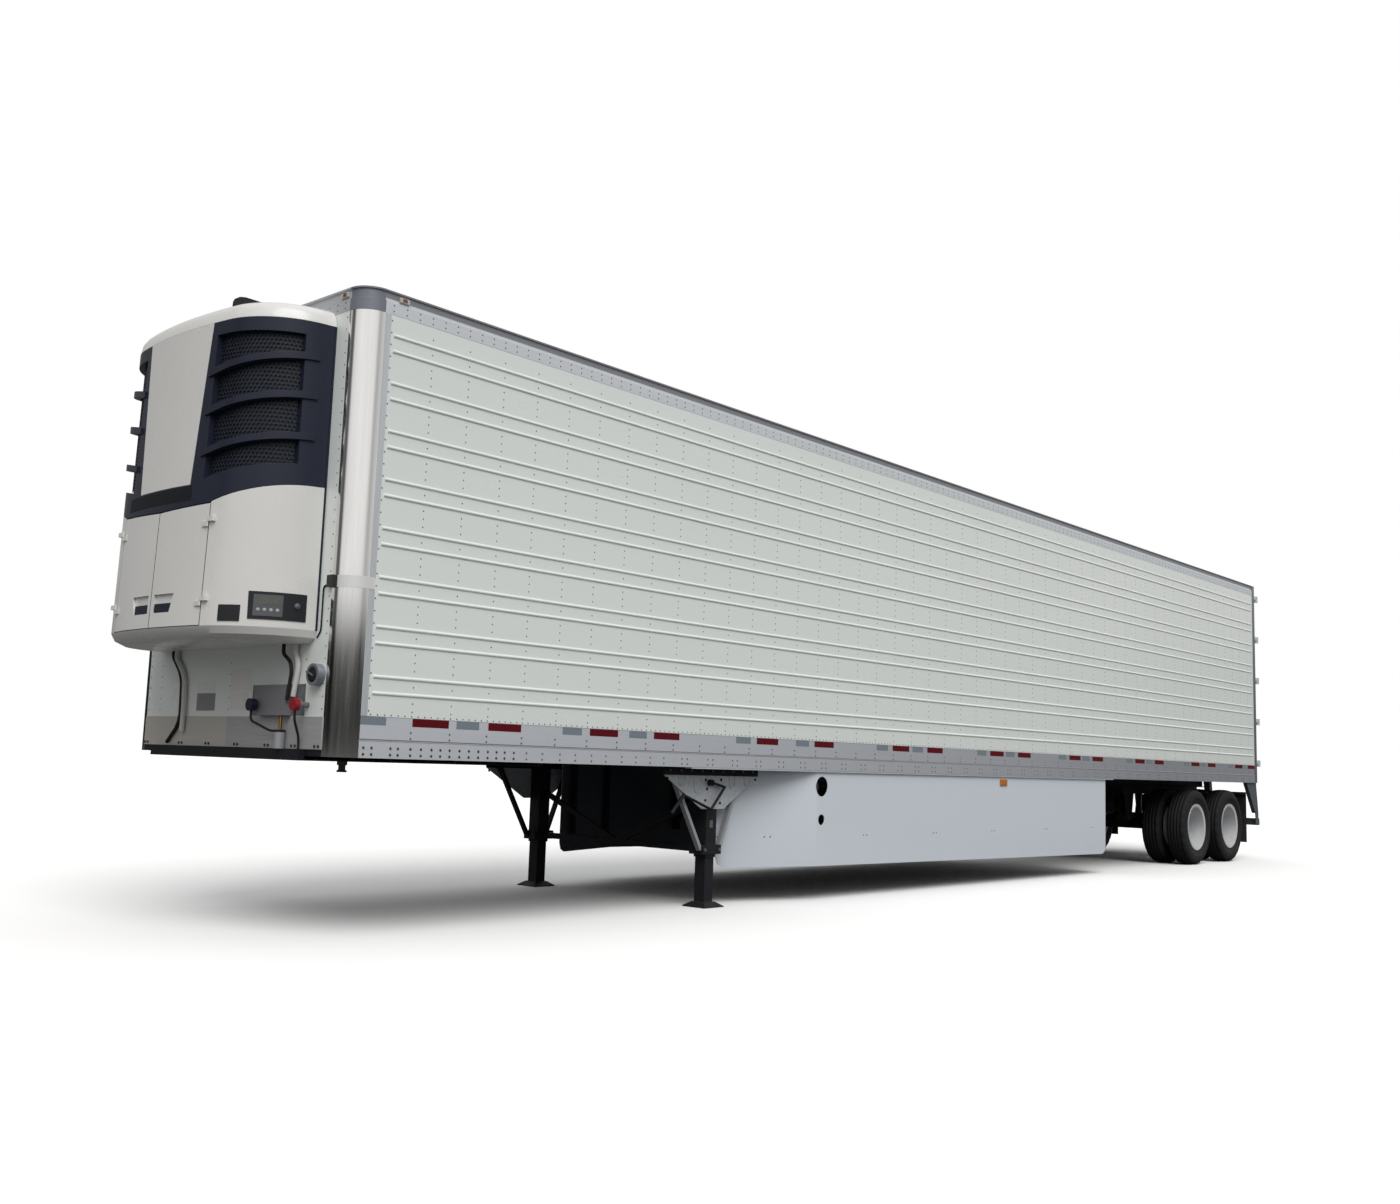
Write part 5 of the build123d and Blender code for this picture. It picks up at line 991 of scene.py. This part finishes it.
# Cooling unit: moulded white panels round a black surround with two slatted, meshed openings.
# Its lower front is two doors on small hinges, over a shallow drip pan; controls are on its left corner.
UNIT_WHITE_TONE = (0.76, 0.755, 0.735)
unit_white = surface(
    "unit_white", UNIT_WHITE_TONE, (0.73, 0.725, 0.705), (0.24, 0.34), scale=3.0, coat=0.2
)
unit_black = surface(
    "unit_black", (0.012, 0.0155, 0.031), (0.019, 0.024, 0.043), (0.32, 0.46), scale=160.0, bump=0.00025,
    spec=0.28,
)
unit_fitting_black = surface(
    "unit_fitting_black", (0.014, 0.015, 0.018), (0.022, 0.023, 0.027), (0.3, 0.45), scale=120.0,
    bump=0.0002, spec=0.3,
    zones=areas(
        (-0.66, -0.7, 1.90, -0.50, -0.45, 2.70, UNIT_WHITE_TONE),
        (0.50, -0.7, 1.90, 0.66, -0.45, 2.70, UNIT_WHITE_TONE),
    ),
)
dress(
    unit_white, "unit_base_pan", "unit_top_cap", "unit_front_panel", "unit_side_panels", "unit_door_left",
    "unit_door_right", edge=0.0025,
)
dress(unit_black, "unit_frame", "unit_grille", edge=0.002)
dress(unit_fitting_black, "unit_fittings", edge=0.002)
dress(chassis_black, "unit_engine", edge=0.004)
UNIT_SEAM = 1.905
UNIT_TOP = 3.870
UNIT_LEAN = 0.085
ARC_STEPS = 80


def arc_points(start, middle, end, count):
    """Points on the arc through three points of the plan."""
    (ax, ay), (bx, by), (cx, cy) = start, middle, end
    span = 2 * (ax * (by - cy) + bx * (cy - ay) + cx * (ay - by))
    a2, b2, c2 = ax * ax + ay * ay, bx * bx + by * by, cx * cx + cy * cy
    ox = (a2 * (by - cy) + b2 * (cy - ay) + c2 * (ay - by)) / span
    oy = (a2 * (cx - bx) + b2 * (ax - cx) + c2 * (bx - ax)) / span
    radius = math.hypot(ax - ox, ay - oy)
    first = math.atan2(ay - oy, ax - ox)
    last = math.atan2(cy - oy, cx - ox)
    angles = [first + (last - first) * index / count for index in range(count + 1)]
    return [(ox + radius * math.cos(angle), oy + radius * math.sin(angle)) for angle in angles]


# the unit's plan from the middle of its front to its left side; columns: x, depth
front_arc = arc_points((-0.560, 0.555), (0.0, 0.600), (0.560, 0.555), ARC_STEPS)[ARC_STEPS // 2::-1]
front_arc = [(abs(x), depth) for x, depth in front_arc]
corner_arc = arc_points((0.560, 0.555), (0.890, 0.350), (0.990, 0.060), ARC_STEPS)[1:]
unit_plan = front_arc + corner_arc + [(1.0, 0.0)]
plan_run = [0.0]
for (ax, ay), (bx, by) in zip(unit_plan, unit_plan[1:]):
    plan_run.append(plan_run[-1] + math.hypot(bx - ax, by - ay))


def run_at(value, column):
    """Run along the plan where a column first reaches a value."""
    for index in range(len(unit_plan) - 1):
        near, far = unit_plan[index][column], unit_plan[index + 1][column]
        if min(near, far) <= value <= max(near, far) and near != far:
            share = (value - near) / (far - near)
            return plan_run[index] + share * (plan_run[index + 1] - plan_run[index])
    return plan_run[-1]


def on_unit(run, z, out=0.0, sign=1):
    """Place on the unit's skin, and the way it faces, at a run from the middle and a height."""
    index = min(max(sum(1 for mark in plan_run if mark <= run) - 1, 0), len(unit_plan) - 2)
    share = (run - plan_run[index]) / (plan_run[index + 1] - plan_run[index])
    (ax, ay), (bx, by) = unit_plan[index], unit_plan[index + 1]
    lean = 1.0 - UNIT_LEAN * (z - UNIT_SEAM) / (UNIT_TOP - UNIT_SEAM)
    way = Vector((sign * (ay - by), -(bx - ax), 0)).normalized()
    spot = Vector((sign * (ax + share * (bx - ax)), nose - lean * (ay + share * (by - ay)), z))
    return spot + way * out, way


def unit_patch(name, patches, finish, body="trailer", steps=10):
    """Thin plates on the unit's skin; patches are (run, run, z, z, inner out, outer out, sign)."""
    bm = bmesh.new()
    for run0, run1, z0, z1, out0, out1, sign in patches:
        runs = [run0 + (run1 - run0) * index / steps for index in range(steps + 1)]
        back, front = (
            [[bm.verts.new(on_unit(run, z, out, sign)[0]) for z in (z0, z1)] for run in runs]
            for out in (out0, out1)
        )
        for near in range(steps):
            far = near + 1
            for grid in (back, front):
                bm.faces.new((grid[near][0], grid[far][0], grid[far][1], grid[near][1]))
            for end in (0, 1):
                bm.faces.new((back[near][end], back[far][end], front[far][end], front[near][end]))
        for end in (0, steps):
            bm.faces.new((back[end][0], back[end][1], front[end][1], front[end][0]))
    return link_piece(name, close_mesh(name, bm), finish, body)


# honeycomb behind the slats; thin six-sided cells that follow the unit's curve
CELL = 0.0175
CELL_WALL = 0.0026
CELL_GAP = 0.0002
CELL_OUT = (-0.042, -0.036)
CELL_CORNERS = [math.radians(30 + 60 * corner) for corner in range(6)]
GRILLE_X = 0.462
GRILLE_DEPTH = 0.195
GRILLE_FOOT = 2.843
GRILLE_HEAD = 3.780
GRILLE_RISE = 0.2
mesh_black = surface(
    "mesh_black", (0.016, 0.018, 0.026), (0.024, 0.027, 0.037), (0.3, 0.45), scale=90.0, spec=0.4
)
run_low = run_at(GRILLE_X, 0) + CELL
run_high = run_at(GRILLE_DEPTH, 1) - CELL
for side_name, sign in SIDES:
    bm = bmesh.new()
    for index, z in enumerate(row(GRILLE_FOOT + CELL, GRILLE_HEAD - CELL, 1.5 * CELL)):
        shift = (index % 2) * CELL * math.sqrt(3) / 2
        for run in row(run_low + shift, run_high, CELL * math.sqrt(3)):
            x = abs(on_unit(run, z)[0].x)
            if z < GRILLE_FOOT + CELL + GRILLE_RISE * (x - GRILLE_X):
                continue
            rings = []
            for out, radius in product(CELL_OUT, (CELL - CELL_GAP, CELL - CELL_WALL)):
                spots = [(run + radius * math.cos(a), z + radius * math.sin(a)) for a in CELL_CORNERS]
                rings.append([bm.verts.new(on_unit(*spot, out, sign)[0]) for spot in spots])
            outer_back, inner_back, outer_front, inner_front = rings
            loop = (outer_front, inner_front, inner_back, outer_back, outer_front)
            for corner in range(6):
                follow = (corner + 1) % 6
                for one, two in zip(loop, loop[1:]):
                    bm.faces.new((one[corner], one[follow], two[follow], two[corner]))
    link_piece(f"grille_mesh_{side_name}", close_mesh("grille_mesh", bm), mesh_black)

HANDLE_RUN = (run_at(0.045, 0), run_at(0.228, 0))
HANDLE_AREA = (2.006, 2.062, -0.0155, -0.004)
for side_name, sign in SIDES:
    handle = [(*HANDLE_RUN, *HANDLE_AREA, sign)]
    unit_patch(f"door_handle_{side_name}", handle, unit_black, f"unit_{side_name}_door")
LATCH_AREA = (2.715, 2.805, 0.0, 0.0016)
latch_patches = [(0.0, run_at(x, 0), *LATCH_AREA, sign) for x, sign in ((0.35, 1), (0.49, -1))]
latch_black = surface(
    "latch_black", (0.008, 0.009, 0.012), (0.013, 0.014, 0.017), (0.5, 0.65), scale=60.0, spec=0.2
)
unit_patch("band_latch", latch_patches, latch_black)

# dark gaskets behind the joints between the lower panels and the pan
GASKET_HALF = 0.008
GASKET_FOOT = 1.909
GASKET_OUT = (-0.006, -0.0012)
joint = run_at(0.5575, 0)
gasket_patches = []
for sign in (-1, 1):
    for run0, run1, head_z in ((joint - GASKET_HALF, joint + GASKET_HALF, 2.672), (0.0, GASKET_HALF, 2.655)):
        gasket_patches.append((run0, run1, GASKET_FOOT, head_z, *GASKET_OUT, sign))
unit_patch("panel_gaskets", gasket_patches, latch_black, steps=2)

# controls on the black plate at the left corner
PANEL_OUT = 0.005
BEZEL_OUT = PANEL_OUT + 0.003
DISPLAY_OUT = BEZEL_OUT + 0.001
BUTTON = (0.012, 0.003)
BUTTON_START = 0.060
BUTTON_PITCH = 0.038
BUTTON_Z = 2.010
KNOB = (0.022, 0.012)
KNOB_INSET = 0.060
KNOB_Z = 2.045
panel_inner = run_at(0.400, 1)
panel_outer = run_at(0.084, 1)
display_glass = surface(
    "display_glass", (0.075, 0.09, 0.075), (0.06, 0.075, 0.06), (0.08, 0.15), scale=30.0, coat=0.5
)
button_pale = surface("button_pale", (0.42, 0.43, 0.43), (0.36, 0.37, 0.37), (0.4, 0.55), scale=60.0)
bezel_grey = surface("bezel_grey", (0.10, 0.105, 0.115), (0.08, 0.085, 0.09), (0.35, 0.5), scale=60.0)
# columns: name, low run and high run from the panel's inner edge, low z, high z, inner out, outer out, finish
CONTROL_PLATES = (
    ("control_bezel", 0.030, 0.205, 1.972, 2.105, PANEL_OUT, BEZEL_OUT, bezel_grey),
    ("control_display", 0.055, 0.180, 2.045, 2.095, BEZEL_OUT, DISPLAY_OUT, display_glass),
)
for name, run0, run1, z0, z1, out0, out1, finish in CONTROL_PLATES:
    unit_patch(name, [(panel_inner + run0, panel_inner + run1, z0, z1, out0, out1, 1)], finish)
button_runs = [panel_inner + BUTTON_START + BUTTON_PITCH * index for index in range(4)]
button_spots = [on_unit(run, BUTTON_Z, BEZEL_OUT) for run in button_runs]
studs("control_buttons", button_spots, BUTTON, button_pale, sides=16)
knob_spots = [on_unit(panel_outer - KNOB_INSET, KNOB_Z, PANEL_OUT)]
studs("control_knob", knob_spots, KNOB, bezel_grey, sides=20)

# Front fittings: grey nose box with two air couplings, a socket, a round fresh-air vent and a strap.
# Sleeved conduits come down from the unit's pan and short leads run between the fittings.
fitting_zones = areas(
    (0.90, -0.12, 1.39, 1.00, -0.075, 1.50, (0.30, 0.012, 0.018)),
    (0.39, -0.12, 1.39, 0.49, -0.052, 1.50, (0.012, 0.014, 0.030)),
    (0.98, -0.2, 1.55, 1.14, 0.05, 1.72, (0.20, 0.215, 0.24)),
    (1.10, -0.030, 2.17, 1.176, 0.02, 2.26, (0.02, 0.02, 0.022)),
    (1.176, -0.05, 2.17, 1.30, 0.25, 2.26, (0.78, 0.79, 0.78)),
    (0.395, -0.051, 1.379, 0.78, -0.006, 1.58, (0.23, 0.23, 0.245)),
    (0.67, -0.08, 1.272, 0.76, 0.0, 1.30, (0.012, 0.012, 0.013)),
    (0.67, -0.08, 1.16, 0.76, 0.0, 1.272, (0.34, 0.35, 0.36)),
)
fitting_grey = surface(
    "fitting_grey", (0.14, 0.145, 0.155), (0.20, 0.205, 0.215), (0.35, 0.5), metal=0.2, scale=40.0,
    zones=fitting_zones,
)
sleeve_zones = areas(
    (0.784, -0.0405, 1.0, 0.87, 0.05, 2.0, (0.66, 0.66, 0.64)),
    (0.698, -0.046, 1.286, 0.7075, -0.034, 1.382, (0.25, 0.01, 0.01)),
    (0.711, -0.046, 1.286, 0.7195, -0.034, 1.382, (0.45, 0.32, 0.02)),
)
sleeve_black = surface(
    "sleeve_black", (0.010, 0.010, 0.011), (0.02, 0.02, 0.021), (0.4, 0.6), scale=90.0, bump=0.0003, spec=0.3,
    zones=sleeve_zones,
)
dress(fitting_grey, "front_fittings", edge=0.0015)
dress(sleeve_black, "conduits")
# the pale pipe beside the right black sleeve, found by its route; columns: x, z
PIPE_ROUTE = ((-0.707, 1.83), (-0.707, 1.78), (-0.575, 1.655), (-0.558, 1.43), (-0.562, 1.27))
PIPE_REACH = 0.0235
RUN_PAST = 0.1
pipe_white = surface("pipe_white", (0.60, 0.60, 0.58), (0.54, 0.54, 0.52), (0.4, 0.55), scale=60.0)
conduit_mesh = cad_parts["conduits"].data
conduit_mesh.materials.append(pipe_white)
for face in conduit_mesh.polygons:
    spot = Vector((face.center.x, face.center.z))
    for start, end in zip(PIPE_ROUTE, PIPE_ROUTE[1:]):
        beside, share = intersect_point_line(spot, start, end)
        if -RUN_PAST < share < 1 + RUN_PAST and (spot - beside).length < PIPE_REACH:
            face.material_index = 1
VENT_X = 1.055
VENT_Z = 1.632
VENT_DISC = (0.050, 0.0012)
vent_y = nose - 0.052
HANDLE_R = 0.006
vent_dark = surface(
    "vent_dark", (0.012, 0.015, 0.014), (0.02, 0.023, 0.022), (0.4, 0.6), scale=60.0, spec=0.2
)
vent_spot = [((VENT_X, vent_y, VENT_Z), FORWARD)]
studs("vent_face", vent_spot, VENT_DISC, vent_dark, sides=28)
# columns: x and height from the vent's middle
VENT_HANDLE = ((-0.052, 0.020), (0.020, -0.010))
vent_handle = [(VENT_X + x, vent_y - HANDLE_R, VENT_Z + z) for x, z in VENT_HANDLE]
tubes("vent_handle", [vent_handle], HANDLE_R, bright_nut)

# Lamps: amber markers on the header, corners and skirts, red lamps at the rear.
# Each is a ribbed lens; the header's sit in bright housings.
AMBER_TONE = (0.16, 0.045, 0.008)
LENS_Z = (4.055, 4.081)
# lens areas inside the bright housings; columns: low x, low station, high x, high station
LENS_AREAS = (
    (1.05, -0.1, 1.087, 0.05), (-1.087, -0.1, -1.05, 0.05), (1.25, 0.281, 1.35, 0.317),
    (-1.35, 0.281, -1.25, 0.317),
)
lamp_zones = areas(
    (-1.5, -0.2, 4.0, 1.5, 0.6, 4.2, (0.50, 0.50, 0.49)),
    *((x0, s0, LENS_Z[0], x1, s1, LENS_Z[1], AMBER_TONE) for x0, s0, x1, s1 in LENS_AREAS),
)
amber_lens = surface(
    "amber_lens", (0.60, 0.20, 0.012), (0.48, 0.15, 0.010), (0.12, 0.22), scale=2.0, stretch=(60, 60, 4),
    bump=0.0003, coat=0.5, zones=lamp_zones,
)
red_lens = surface(
    "red_lens", (0.30, 0.008, 0.008), (0.20, 0.006, 0.006), (0.12, 0.22), scale=2.0, stretch=(60, 60, 4),
    bump=0.0003, coat=0.5,
)
dress(amber_lens, "amber_lamps", edge=0.002)
# raised lens frames round the skirt lamps; low station, high station, low height, high height
SKIRT_LAMP = (8.23, 8.38, 1.024, 1.092)
LENS_RISE = 0.012
lamp_frames = side_boxes(SKIRT_FACE, LENS_RISE, [SKIRT_LAMP])
slabs("skirt_lamp_frames", lamp_frames, amber_lens, edge=0.005)
dress(red_lens, "red_lamps", edge=0.002)
